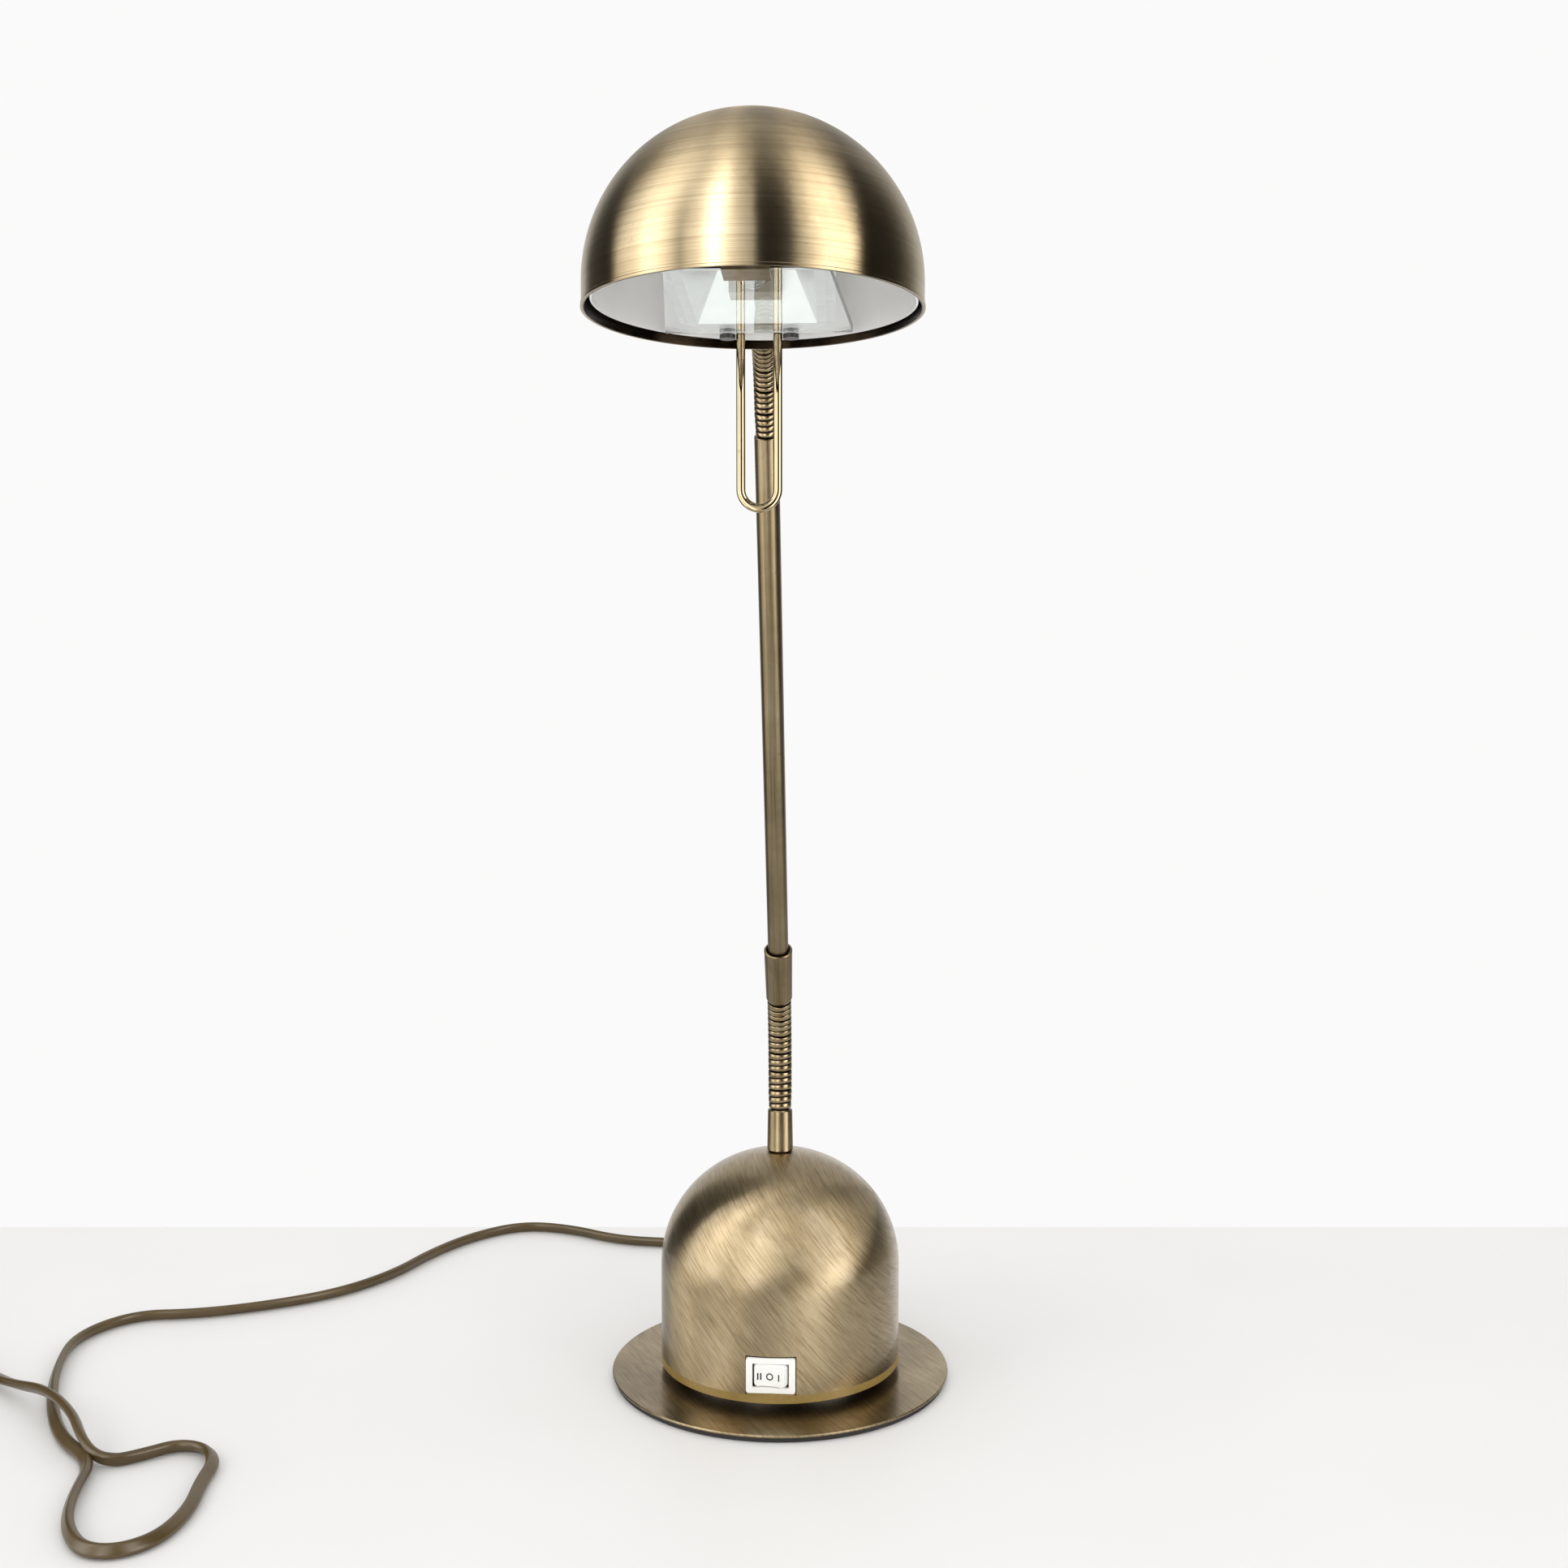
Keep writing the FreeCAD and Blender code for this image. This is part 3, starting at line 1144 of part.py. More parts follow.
def biarc(start, start_along, end, end_along):
    """Two tangent arcs from start to end with the given headings."""
    across = end - start
    total = start_along + end_along
    square = 2 * (1 - start_along.dot(end_along))
    mixed = 2 * across.dot(total)
    reach = across.dot(across)
    if square < 1e-9:
        handle = reach / mixed
    else:
        handle = (-mixed + math.sqrt(mixed ** 2 + 4 * square * reach)) / (2 * square)
    first_corner = start + start_along * handle
    last_corner = end - end_along * handle
    middle = (first_corner + last_corner) * 0.5
    return [tangent_arc(start, first_corner, middle), tangent_arc(middle, last_corner, end)]


def tangent_arc(start, corner, end):
    """The arc from start to end whose end tangents meet at corner."""
    arriving, leaving = corner - start, end - corner
    trim = arriving.Length
    arriving.normalize()
    leaving.normalize()
    turn = arriving.getAngle(leaving)
    if turn < 1e-6:
        return Part.LineSegment(start, end).toShape()
    radius = trim / math.tan(turn / 2)
    inward = leaving - arriving
    inward.normalize()
    middle = corner + inward * (radius * (1 / math.cos(turn / 2) - 1))
    return Part.Arc(start, middle, end).toShape()


coil_along = Vector(COIL_HEADING).normalize()
coil_side = Vector(-coil_along.y, coil_along.x, 0)
coil_centre = COIL_ENTRY + coil_side * size("coil_outer")


def coil_point(half_turns):
    """Point of the coil after so many half turns: in on the floor layer, out on the one above."""
    inward, outward = size("coil_half_turns_in"), size("coil_half_turns_out")
    shrink = size("coil_pitch") / 2
    inner = size("coil_outer") - shrink * inward
    if half_turns <= inward:
        radius, rise = size("coil_outer") - shrink * half_turns, 0.0
    elif half_turns <= inward + 1:
        radius, rise = inner, half_turns - inward
    else:
        radius, rise = inner + shrink * (half_turns - inward - 1), 1.0
    smooth = rise * rise * (3 - 2 * rise)
    height = size("coil_layer_1") + size("coil_step") * smooth
    angle = math.pi * half_turns
    spoke = coil_side * -math.cos(angle) + coil_along * math.sin(angle)
    return coil_centre + spoke * radius + Vector(0, 0, height)


def coil_tangent(half_turns):
    step = 0.001
    along = coil_point(half_turns + step) - coil_point(half_turns - step)
    return along.normalize()


def coil_edges():
    """Quarter turns as biarcs, from a straight start to a straight end at the plug."""
    total = size("coil_half_turns_in") + 1 + size("coil_half_turns_out")
    count = int(round(total * 2))
    marks = [total * index / count for index in range(count + 1)]
    points = [coil_point(mark) for mark in marks]
    tangents = [coil_tangent(mark) for mark in marks]
    tangents[0] = Vector(coil_along)
    tangents[-1] = Vector(tangents[-1].x, tangents[-1].y, 0).normalize()
    straight = 2 * size("cord_radius")
    lead_in = Vector(points[0] - tangents[0] * straight)
    edges = [Part.LineSegment(lead_in, points[0]).toShape()]
    for index in range(count):
        edges += biarc(points[index], tangents[index], points[index + 1], tangents[index + 1])
    level = points[-1] + tangents[-1] * size("coil_tail")
    edges.append(Part.LineSegment(points[-1], level).toShape())
    tail = level + tangents[-1] * (3 * straight)
    tail.z = size("plug_height") / 2
    edges += biarc(level, tangents[-1], tail, tangents[-1])
    end = tail + tangents[-1] * straight
    edges.append(Part.LineSegment(tail, end).toShape())
    return edges, lead_in, end, tangents[-1]


def least_gap(edges, radius):
    """Least distance between stretches of the tube that aren't neighbours, less its diameter."""
    points = []
    run = []
    length = 0.0
    for edge in edges:
        steps = max(2, int(edge.Length / 2))
        for point in edge.discretize(steps)[:-1]:
            points.append(point)
            run.append(length)
            length += edge.Length / (steps - 1)
    apart = 8 * radius
    least = min((points[i] - points[j]).Length for i in range(len(points))
                for j in range(i) if run[i] - run[j] > apart)
    return least - 2 * radius


def build_cord():
    radius = size("cord_radius")
    tip = size("relief_start") + size("relief_flange") + size("relief_length")
    tip_point = turned_frame.multVec(Vector(0, tip, size("outlet_height")))
    edges, lead_in, plug_point, plug_along = coil_edges()
    tip_along = turned_frame.Rotation.multVec(Y_AXIS)
    points = [tip_point, tip_point + tip_along * size("outlet_run")]
    points += [Vector(*point) for point in CORD_POINTS]
    points += [lead_in - coil_along * size("outlet_run"), lead_in]
    run, radii = filleted_path(points)
    print("lead radii:", [round(number, 1) for number in radii])
    tube, run_length = swept(run, radius, tip_point, tip_along)
    shape_piece(tube, "cord_run")
    coil, coil_length = swept(edges, radius, lead_in, coil_along)
    print("coil length %.1f, least gap %.2f" % (coil_length, least_gap(edges, radius)))
    print("whole lead %.1f" % (run_length + coil_length))
    shape_piece(coil, "cord_coil")
    build_tie()
    build_plug(plug_point, plug_along)


def build_tie():
    """A flat strap round all the turns on the side of the coil away from its start."""
    radius, sheet = size("cord_radius"), size("tie_sheet")
    shrink = size("coil_pitch") / 2
    first_turn, last_turn = 1.5, size("coil_half_turns_in") - 0.5
    low = size("coil_layer_1") - radius - 0.05
    high = size("coil_layer_2") + radius + 0.05
    near = size("coil_outer") - shrink * last_turn - radius - 0.5
    far = size("coil_outer") - shrink * first_turn + radius + 0.5
    width = size("tie_width")
    outer = Part.makeBox(far - near + 2 * sheet, width, high - low + 2 * sheet,
                         Vector(near - sheet, -width / 2, low - sheet))
    room = Part.makeBox(far - near, width + 2, high - low, Vector(near, -width / 2 - 1, low))
    angle = math.degrees(math.atan2(coil_side.y, coil_side.x))
    shape_piece(outer.cut(room), "coil_tie",
                Placement(coil_centre, Rotation(Z_AXIS, angle + 90)))


def build_plug(point, along):
    """A flat two-pin plug lying beside the coil, the lead square into its narrow end."""
    half_width, half_height = size("plug_width") / 2, size("plug_height") / 2
    length, neck = size("plug_length"), size("plug_neck") / 2
    outline = [Vector(0, -neck, 0), Vector(length * 0.55, -half_width, 0),
               Vector(length, -half_width, 0), Vector(length, half_width, 0),
               Vector(length * 0.55, half_width, 0), Vector(0, neck, 0)]
    body = Part.Face(Part.makePolygon(outline + [outline[0]])).extrude(
        Vector(0, 0, 2 * half_height))
    body.translate(Vector(0, 0, -half_height))
    body = body.makeFillet(1.5, [edge for edge in body.Edges if edge.Length > 8])
    place = Placement(point, Rotation(X_AXIS, along))
    spread = size("plug_pin_spread") / 2
    pins = []
    for side in (-1, 1):
        start = Vector(length - 6, side * spread, 0)
        body = body.cut(Part.makeCylinder(size("plug_pin_radius") + size("thread_fit"), 7, start, X_AXIS))
        pins.append(Part.makeCylinder(size("plug_pin_radius"), size("plug_pin_length") + 5.9,
                                      start + Vector(0.1, 0, 0), X_AXIS))
    shape_piece(body, "plug_body", place)
    shape_piece(Part.makeCompound(pins), "plug_pins", Placement(place))


# ---------------------------------------------------------------- build, check and write
build_base()
build_bottom_plate()
build_housing_shell()
build_transformer()
build_switch()
build_relief()
build_ferrule()
build_necks()
build_arm()
build_shade()
build_fitting()
build_carrier()
build_reflector()
build_lamp()
build_glass()
build_handle()
build_cord()
doc.recompute()

for thing in doc.Objects:
    if "Invalid" in thing.State or "Error" in thing.State:
        raise RuntimeError("%s failed: %s" % (thing.Name, thing.State))
for thing in pieces:
    if thing.Shape.isNull() or not thing.Shape.isValid() or not thing.Shape.Solids:
        raise RuntimeError("%s has no valid solid" % thing.Label)

os.makedirs("parts", exist_ok=True)
for thing in pieces:
    thing.Shape.exportStep("parts/%s.step" % thing.Label)
print("%d sub-parts; shade rim centre %s" % (len(pieces), shade_centre))
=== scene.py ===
"""Looks of the dome shade desk lamp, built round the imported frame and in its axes.

The scene is in metres; named sizes are in millimetres where nothing else is said.
"""
import json
import math

import bmesh
import bpy
from mathutils import Matrix, Vector


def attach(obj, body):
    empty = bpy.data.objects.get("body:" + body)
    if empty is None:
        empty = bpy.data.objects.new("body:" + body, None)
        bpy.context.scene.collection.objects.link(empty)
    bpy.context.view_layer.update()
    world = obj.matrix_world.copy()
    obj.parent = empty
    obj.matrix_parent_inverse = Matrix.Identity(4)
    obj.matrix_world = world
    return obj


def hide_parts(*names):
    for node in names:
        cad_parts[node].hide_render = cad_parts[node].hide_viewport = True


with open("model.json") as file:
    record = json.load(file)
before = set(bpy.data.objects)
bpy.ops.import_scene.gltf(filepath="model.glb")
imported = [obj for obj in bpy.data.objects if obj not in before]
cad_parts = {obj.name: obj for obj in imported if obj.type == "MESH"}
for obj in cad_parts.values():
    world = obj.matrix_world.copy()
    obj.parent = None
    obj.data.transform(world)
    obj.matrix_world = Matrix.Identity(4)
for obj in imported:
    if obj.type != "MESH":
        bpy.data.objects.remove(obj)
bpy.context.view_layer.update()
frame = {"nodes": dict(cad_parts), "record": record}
NODES = frame["nodes"]
MM = 0.001
HOUSING_TURN = Matrix.Rotation(math.radians(-2.3), 4, "Z")
ARM_TILT = 29.76                       # degrees from upright, towards the camera


# ---------------------------------------------------------------- camera
VIEW_TURN = math.radians(1.85)         # the camera looks a little to the left of the arm's plane
VIEW_PITCH = math.radians(2.577)       # and a little down
LAMP_OFFSET, VIEW_DISTANCE, VIEW_HEIGHT = 1.764, 734.76, 300.70
LENS, SENSOR = 37.55, 36.0


def view_point(x, y, z=0.0):
    """A point given in mm to the right of the camera's line, behind the lamp and up."""
    right = Vector((math.cos(VIEW_TURN), math.sin(VIEW_TURN), 0))
    ahead = Vector((-math.sin(VIEW_TURN), math.cos(VIEW_TURN), 0))
    return (right * (x + LAMP_OFFSET) + ahead * y + Vector((0, 0, z))) * MM


def make_camera():
    data = bpy.data.cameras.new("view")
    data.lens, data.sensor_width = LENS, SENSOR
    data.clip_start, data.clip_end = 0.01, 50.0
    camera = bpy.data.objects.new("view", data)
    bpy.context.scene.collection.objects.link(camera)
    camera.location = view_point(0, -VIEW_DISTANCE, VIEW_HEIGHT)
    camera.rotation_euler = (math.pi / 2 - VIEW_PITCH, 0, VIEW_TURN)
    bpy.context.scene.camera = camera


# ---------------------------------------------------------------- materials
def linear(red, green, blue):
    """Linear colour from 0-255 screen values."""
    def one(value):
        share = value / 255
        return share / 12.92 if share <= 0.04045 else ((share + 0.055) / 1.055) ** 2.4
    return (one(red), one(green), one(blue), 1.0)


class Finish:
    """A node material under construction."""

    def __init__(self, name, **sockets):
        self.material = bpy.data.materials.new(name)
        self.material.use_nodes = True
        self.tree = self.material.node_tree
        self.shader = self.tree.nodes["Principled BSDF"]
        self.place = self.node("ShaderNodeTexCoord").outputs["Object"]
        for key, value in sockets.items():
            self.shader.inputs[key.replace("_", " ")].default_value = value

    def node(self, kind, **settings):
        made = self.tree.nodes.new(kind)
        for key, value in settings.items():
            setattr(made, key, value)
        return made

    def link(self, source, target):
        self.tree.links.new(source, target)

    def noise(self, scale, stretch=(1, 1, 1), turn=(0, 0, 0), detail=4.0, rough=0.6, warp=0.0,
              seed=0.0):
        """Noise whose cells are 1 / (scale * stretch) metres along each axis."""
        turned = self.node("ShaderNodeMapping")
        turned.inputs["Rotation"].default_value = [math.radians(angle) for angle in turn]
        self.link(self.place, turned.inputs["Vector"])
        mapping = self.node("ShaderNodeMapping")
        mapping.inputs["Scale"].default_value = stretch
        mapping.inputs["Location"].default_value = (seed, seed * 0.7, seed * 1.3)
        self.link(turned.outputs["Vector"], mapping.inputs["Vector"])
        noise = self.node("ShaderNodeTexNoise")
        noise.inputs["Scale"].default_value = scale
        noise.inputs["Detail"].default_value = detail
        noise.inputs["Roughness"].default_value = rough
        noise.inputs["Distortion"].default_value = warp
        self.link(mapping.outputs["Vector"], noise.inputs["Vector"])
        return noise.outputs["Fac"]

    def ramp(self, value, *stops):
        """Colours or numbers at the given places between 0 and 1."""
        ramp = self.node("ShaderNodeValToRGB")
        elements = ramp.color_ramp.elements
        while len(elements) < len(stops):
            elements.new(0.5)
        for element, (place, colour) in zip(elements, stops):
            element.position = place
            element.color = colour if hasattr(colour, "__len__") else (colour,) * 3 + (1.0,)
        self.link(value, ramp.inputs["Fac"])
        return ramp.outputs["Color"]

    def mixed(self, share, first, second, blend="MIX"):
        mix = self.node("ShaderNodeMix", data_type="RGBA", blend_type=blend)
        for socket, value in (("Factor", share), ("A", first), ("B", second)):
            target = [item for item in mix.inputs if item.name == socket
                      and item.type == ("VALUE" if socket == "Factor" else "RGBA")][0]
            if hasattr(value, "is_linked"):
                self.link(value, target)
            else:
                target.default_value = value
        return [item for item in mix.outputs if item.type == "RGBA"][0]

    def added(self, first, second, operation="ADD"):
        math_node = self.node("ShaderNodeMath", operation=operation)
        for target, value in zip(math_node.inputs, (first, second)):
            if hasattr(value, "is_linked"):
                self.link(value, target)
            else:
                target.default_value = value
        return math_node.outputs["Value"]

    def colour(self, source):
        self.link(source, self.shader.inputs["Base Color"])
        return self

    def colour_source(self):
        """The socket that feeds the base colour so far."""
        return self.shader.inputs["Base Color"].links[0].from_socket

    def roughness(self, value, low, high):
        self.link(self.ramp(value, (0.25, low), (0.75, high)), self.shader.inputs["Roughness"])
        return self

    def bump(self, height, depth, strength=0.5):
        """Depth in millimetres."""
        bump = self.node("ShaderNodeBump")
        bump.inputs["Distance"].default_value = depth * MM
        bump.inputs["Strength"].default_value = strength
        self.link(height, bump.inputs["Height"])
        self.link(bump.outputs["Normal"], self.shader.inputs["Normal"])
        return self


QUARTER_TURN = 0.25                    # of a whole turn


def spun_round(finish, amount):
    """Highlights drawn out across brush lines that run round the object's Z axis."""
    tangent = finish.node("ShaderNodeTangent", direction_type="RADIAL", axis="Z")
    finish.link(tangent.outputs["Tangent"], finish.shader.inputs["Tangent"])
    finish.shader.inputs["Anisotropic"].default_value = amount
    finish.shader.inputs["Anisotropic Rotation"].default_value = QUARTER_TURN


def brushed_along(finish, across, amount):
    """Highlights drawn out across straight strokes; across is the direction square to them."""
    vector = finish.node("ShaderNodeCombineXYZ")
    for socket, value in zip(vector.inputs, across):
        socket.default_value = value
    finish.link(vector.outputs["Vector"], finish.shader.inputs["Tangent"])
    finish.shader.inputs["Anisotropic"].default_value = amount


BRASS_DARK = linear(128, 113, 88)
BRASS_MID = linear(166, 150, 120)
BRASS_LIGHT = linear(192, 177, 148)
PATINA = linear(84, 70, 52)
STROKE = math.radians(50.0)            # the housing's brush strokes fall this far to the right
DISC_STROKE = 62                       # degrees that the disc's brush strokes are turned
DISC_ACROSS = (0.47, 0.88, 0)          # the direction square to them


def aged_brass(name, streak, turn=(0, 0, 0), low=0.26, high=0.42, tone=1.0, spots=0.5, depth=0.012,
               lacquer=0.0, lined=0.75):
    """Patinated brass: blotches of tarnish, fine brushed streaks and a few dark spots."""
    finish = Finish(name, Metallic=1.0, Coat_Weight=lacquer, Coat_Roughness=0.06)
    blotch = finish.noise(22.0, detail=6.0, rough=0.6, warp=0.5)
    fine = finish.noise(1.0, stretch=streak, turn=turn, detail=5.0, rough=0.7)
    base = finish.ramp(blotch, (0.22, BRASS_DARK), (0.52, BRASS_MID), (0.82, BRASS_LIGHT))
    lines = finish.ramp(fine, (0.32, linear(168, 156, 136)), (0.50, linear(232, 228, 220)),
                        (0.64, linear(255, 255, 255)))
    shade = finish.mixed(lined, base, lines, "MULTIPLY")
    speck = finish.noise(420.0, detail=3.0, rough=0.5, seed=3.1)
    patch = finish.noise(60.0, detail=4.0, rough=0.6, seed=7.7)
    where = finish.added(finish.ramp(speck, (0.66, 0.0), (0.72, 1.0)),
                         finish.ramp(patch, (0.45, 0.0), (0.65, spots)), "MULTIPLY")
    shade = finish.mixed(where, shade, PATINA)
    if tone != 1.0:
        shade = finish.mixed(1.0, shade, (tone, tone, tone, 1.0), "MULTIPLY")
    finish.colour(shade)
    finish.roughness(finish.added(fine, finish.added(blotch, 0.5, "MULTIPLY"), "MULTIPLY"), low, high)
    finish.bump(fine, depth, 0.35)
    return finish


def moulded(name, colour, other, rough=0.4, grain_scale=900.0, metallic=0.0, depth=0.02, **sockets):
    """Moulded plastic, rubber or ceramic: slight mottling and a fine surface grain."""
    finish = Finish(name, Metallic=metallic, **sockets)
    mottle = finish.noise(45.0, detail=5.0)
    fine = finish.noise(grain_scale, detail=3.0, seed=1.9)
    finish.colour(finish.ramp(mottle, (0.3, colour), (0.7, other)))
    finish.roughness(finish.added(mottle, fine, "MULTIPLY"), rough - 0.05, rough + 0.12)
    finish.bump(fine, depth, 0.25)
    return finish


def glassy(name, tint, tint_2, rough=0.02, ior=1.5):
    finish = Finish(name, IOR=ior, Roughness=rough, Transmission_Weight=1.0)
    cloud = finish.noise(30.0, detail=4.0)
    finish.colour(finish.ramp(cloud, (0.3, tint), (0.7, tint_2)))
    finish.roughness(cloud, rough, rough + 0.03)
    return finish


SHADE_CENTRE = Vector((0, -0.23423, 0.42122))      # metres, as the two sizes of the skirt below
SKIRT_RADIUS, SKIRT_HEIGHT = 0.0513, 0.0075


def paint_skirt_shade(finish):
    """Painted shade on the inner face of the shade's skirt, below the white liner: near-black colour
    stands in for the shade that falls on that band.
    """
    moved = finish.node("ShaderNodeVectorMath", operation="SUBTRACT")
    finish.link(finish.place, moved.inputs[0])
    moved.inputs[1].default_value = SHADE_CENTRE
    flat = finish.node("ShaderNodeVectorMath", operation="MULTIPLY")
    finish.link(moved.outputs["Vector"], flat.inputs[0])
    flat.inputs[1].default_value = (1, 1, 0)
    across = finish.node("ShaderNodeVectorMath", operation="LENGTH")
    finish.link(flat.outputs["Vector"], across.inputs[0])
    split = finish.node("ShaderNodeSeparateXYZ")
    finish.link(moved.outputs["Vector"], split.inputs["Vector"])
    inside = finish.added(finish.added(across.outputs["Value"], SKIRT_RADIUS, "LESS_THAN"),
                          finish.added(split.outputs["Z"], SKIRT_HEIGHT, "LESS_THAN"), "MULTIPLY")
    # painted shade: near-black brown on the skirt's inner face below the liner's rim
    skirt_shade_colour = finish.ramp(finish.noise(300.0), (0.3, linear(34, 27, 20)), (0.7, linear(52, 42, 32)))
    finish.colour(finish.mixed(inside, finish.colour_source(), skirt_shade_colour))


def edged_glass():
    """Clear float glass whose two long cut edges look dark green."""
    finish = glassy("pane_glass", linear(248, 252, 251), linear(250, 253, 252), 0.003, 1.45)
    split = finish.node("ShaderNodeSeparateXYZ")
    finish.link(finish.node("ShaderNodeTexCoord").outputs["Normal"], split.inputs["Vector"])
    side = finish.added(finish.added(split.outputs["X"], 0.0, "ABSOLUTE"), 0.7, "GREATER_THAN")
    cloud = finish.noise(30.0, detail=4.0)
    edge = finish.ramp(cloud, (0.3, linear(38, 58, 58)), (0.7, linear(70, 94, 92)))
    finish.colour(finish.mixed(side, finish.colour_source(), edge))
    finish.link(finish.added(1.0, side, "SUBTRACT"), finish.shader.inputs["Transmission Weight"])
    return finish


def make_materials():
    """One finished material for each slot of the record."""
    around = (9.0, 9.0, 2400.0)            # streaks that run round a vertical axis
    table = {}
    table["shade"] = aged_brass("brass_shade", around, low=0.26, high=0.36, spots=0.25, depth=0.004,
                                lined=0.45)
    spun_round(table["shade"], 1.0)
    # painted shade on the skirt's inner face, below the liner
    paint_skirt_shade(table["shade"])
    table["housing"] = aged_brass("brass_housing", (70.0, 70.0, 1500.0),
                                  turn=(0, -math.degrees(STROKE), 0), low=0.34, high=0.46,
                                  spots=0.1, depth=0.03, lacquer=0.35)
    brushed_along(table["housing"], (math.sin(STROKE), 0, math.cos(STROKE)), 0.95)
    table["disc"] = aged_brass("brass_disc", (60.0, 900.0, 60.0), turn=(0, 0, DISC_STROKE),
                               low=0.30, high=0.44, lacquer=0.25, tone=0.9)
    brushed_along(table["disc"], DISC_ACROSS, 0.6)
    table["ferrule"] = aged_brass("brass_ferrule", (300.0, 300.0, 30.0), low=0.26, high=0.40,
                                  spots=1.0, tone=0.75)
    table["rod"] = aged_brass("brass_rod", (1100.0, 1100.0, 12.0), turn=(-ARM_TILT, 0, 0),
                              low=0.34, high=0.46, spots=0.5, tone=0.62, depth=0.006)
    table["neck"] = aged_brass("brass_neck", (200.0, 200.0, 400.0), low=0.26, high=0.40, spots=0.6,
                               tone=0.85)
    table["wire"] = aged_brass("brass_wire", (500.0, 500.0, 30.0), low=0.04, high=0.10, spots=0.3,
                               depth=0.002, lined=0.2, tone=1.2)
    table["bracket"] = aged_brass("brass_bracket", (200.0, 500.0, 200.0), low=0.3, high=0.5,
                                  tone=0.55, spots=1.0)
    table["lug_brass"] = aged_brass("brass_lugs", (300.0, 300.0, 60.0), low=0.25, high=0.4)
    table["olive_plastic"] = moulded("olive_plastic", linear(140, 116, 62), linear(154, 130, 76),
                                     0.30)
    table["pad_rubber"] = moulded("pad_rubber", linear(24, 22, 20), linear(34, 31, 28), 0.65)
    table["black_plastic"] = moulded("black_plastic", linear(22, 19, 17), linear(34, 29, 24), 0.34)
    table["zinc_steel"] = moulded("zinc_steel", linear(170, 172, 174), linear(196, 198, 200), 0.28,
                                  metallic=1.0)
    table["core_steel"] = aged_core()
    table["winding_tape"] = moulded("winding_tape", linear(176, 142, 62), linear(196, 164, 84), 0.3)
    table["clear_terminal"] = moulded("clear_terminal", linear(214, 214, 208), linear(226, 226, 220),
                                      0.3, Subsurface_Weight=0.2)
    table["white_plastic"] = moulded("white_plastic", linear(250, 249, 244), linear(253, 252, 248),
                                     0.30, Subsurface_Weight=0.05)
    table["cord_olive"] = moulded("cord_olive", linear(74, 59, 30), linear(90, 73, 42), 0.36, 500.0)
    table["tie_black"] = moulded("tie_black", linear(26, 26, 26), linear(38, 38, 38), 0.42)
    table["plug_olive"] = moulded("plug_olive", linear(74, 59, 30), linear(88, 72, 42), 0.42)
    table["plug_nickel"] = moulded("plug_nickel", linear(196, 192, 182), linear(214, 210, 200), 0.2,
                                   metallic=1.0)
    table["white_enamel"] = moulded("white_enamel", linear(250, 249, 247), linear(253, 252, 250), 0.2,
                                    60.0)
    table["carrier_steel"] = moulded("carrier_steel", linear(214, 215, 211), linear(228, 229, 225),
                                     0.3)
    table["reflector_aluminium"] = spun_aluminium()
    table["ceramic"] = moulded("ceramic", linear(226, 221, 208), linear(238, 234, 222), 0.55)
    table["quartz"] = glassy("quartz", linear(244, 247, 248), linear(250, 252, 252))
    table["pane_glass"] = edged_glass()
    table["clip_black"] = moulded("clip_black", linear(44, 42, 40), linear(58, 55, 52), 0.4)
    table["mark_grey"] = moulded("mark_grey", linear(26, 26, 28), linear(36, 36, 38), 0.5)
    # painted shade: near-black standing in for the shade in the neck grooves and in the gap round the
    # bezel
    table["painted_shade_black"] = moulded("painted_shade_black", linear(14, 10, 7), linear(24, 18, 12), 0.7,
                                   Specular_IOR_Level=0.15)
    return {key: finish.material for key, finish in table.items()}


def aged_core():
    """Varnished transformer laminations, stacked from front to back."""
    finish = moulded("core_steel", linear(52, 50, 50), linear(72, 69, 66), 0.4, metallic=0.7)
    layers = finish.noise(1.0, stretch=(5.0, 1600.0, 5.0), detail=2.0)
    finish.bump(layers, 0.1, 0.6)
    return finish


def spun_aluminium():
    finish = Finish("reflector_aluminium", Metallic=1.0)
    rings = finish.noise(1.0, stretch=(20.0, 260.0, 20.0), detail=4.0)
    finish.colour(finish.ramp(rings, (0.3, linear(196, 198, 196)), (0.7, linear(226, 228, 226))))
    finish.roughness(rings, 0.24, 0.4)
    finish.bump(rings, 0.02, 0.3)
    return finish


SLOT_OF_NODE = {entry["node"]: entry["material_slot"] for entry in frame["record"]["subparts"]}
NODE_FINISH = {
    "shade_shell": "shade", "housing_shell": "housing", "base_plate": "disc",
    "neck_ferrule": "ferrule", "arm_sleeve": "rod", "arm_rod": "rod", "shade_fitting": "neck",
    "handle_loop": "wire", "front_bracket": "bracket",
}


def dress_nodes(finishes):
    """Give every carried-over node its material."""
    for name, thing in NODES.items():
        key = NODE_FINISH.get(name)
        if key is None:
            key = "neck" if "_neck_" in name else SLOT_OF_NODE[name]
        thing.data.materials.clear()
        thing.data.materials.append(finishes[key])


# ---------------------------------------------------------------- pieces made here
def mesh_piece(name, vertices, faces, material, smooth=True):
    mesh = bpy.data.meshes.new(name)
    mesh.from_pydata([tuple(vertex) for vertex in vertices], [], faces)
    mesh.update()
    work = bmesh.new()
    work.from_mesh(mesh)
    bmesh.ops.recalc_face_normals(work, faces=work.faces)
    work.to_mesh(mesh)
    work.free()
    for polygon in mesh.polygons:
        polygon.use_smooth = smooth
    mesh.materials.append(material)
    thing = bpy.data.objects.new(name, mesh)
    bpy.context.scene.collection.objects.link(thing)
    return thing


def ring_faces(rings, count, closed_ends=True):
    """Faces between rings of count points each."""
    faces = []
    for ring in range(rings - 1):
        for side in range(count):
            a, b = ring * count + side, ring * count + (side + 1) % count
            faces.append((a, b, b + count, a + count))
    if closed_ends:
        faces.append(tuple(range(count)))
        faces.append(tuple((rings - 1) * count + side for side in range(count)))
    return faces


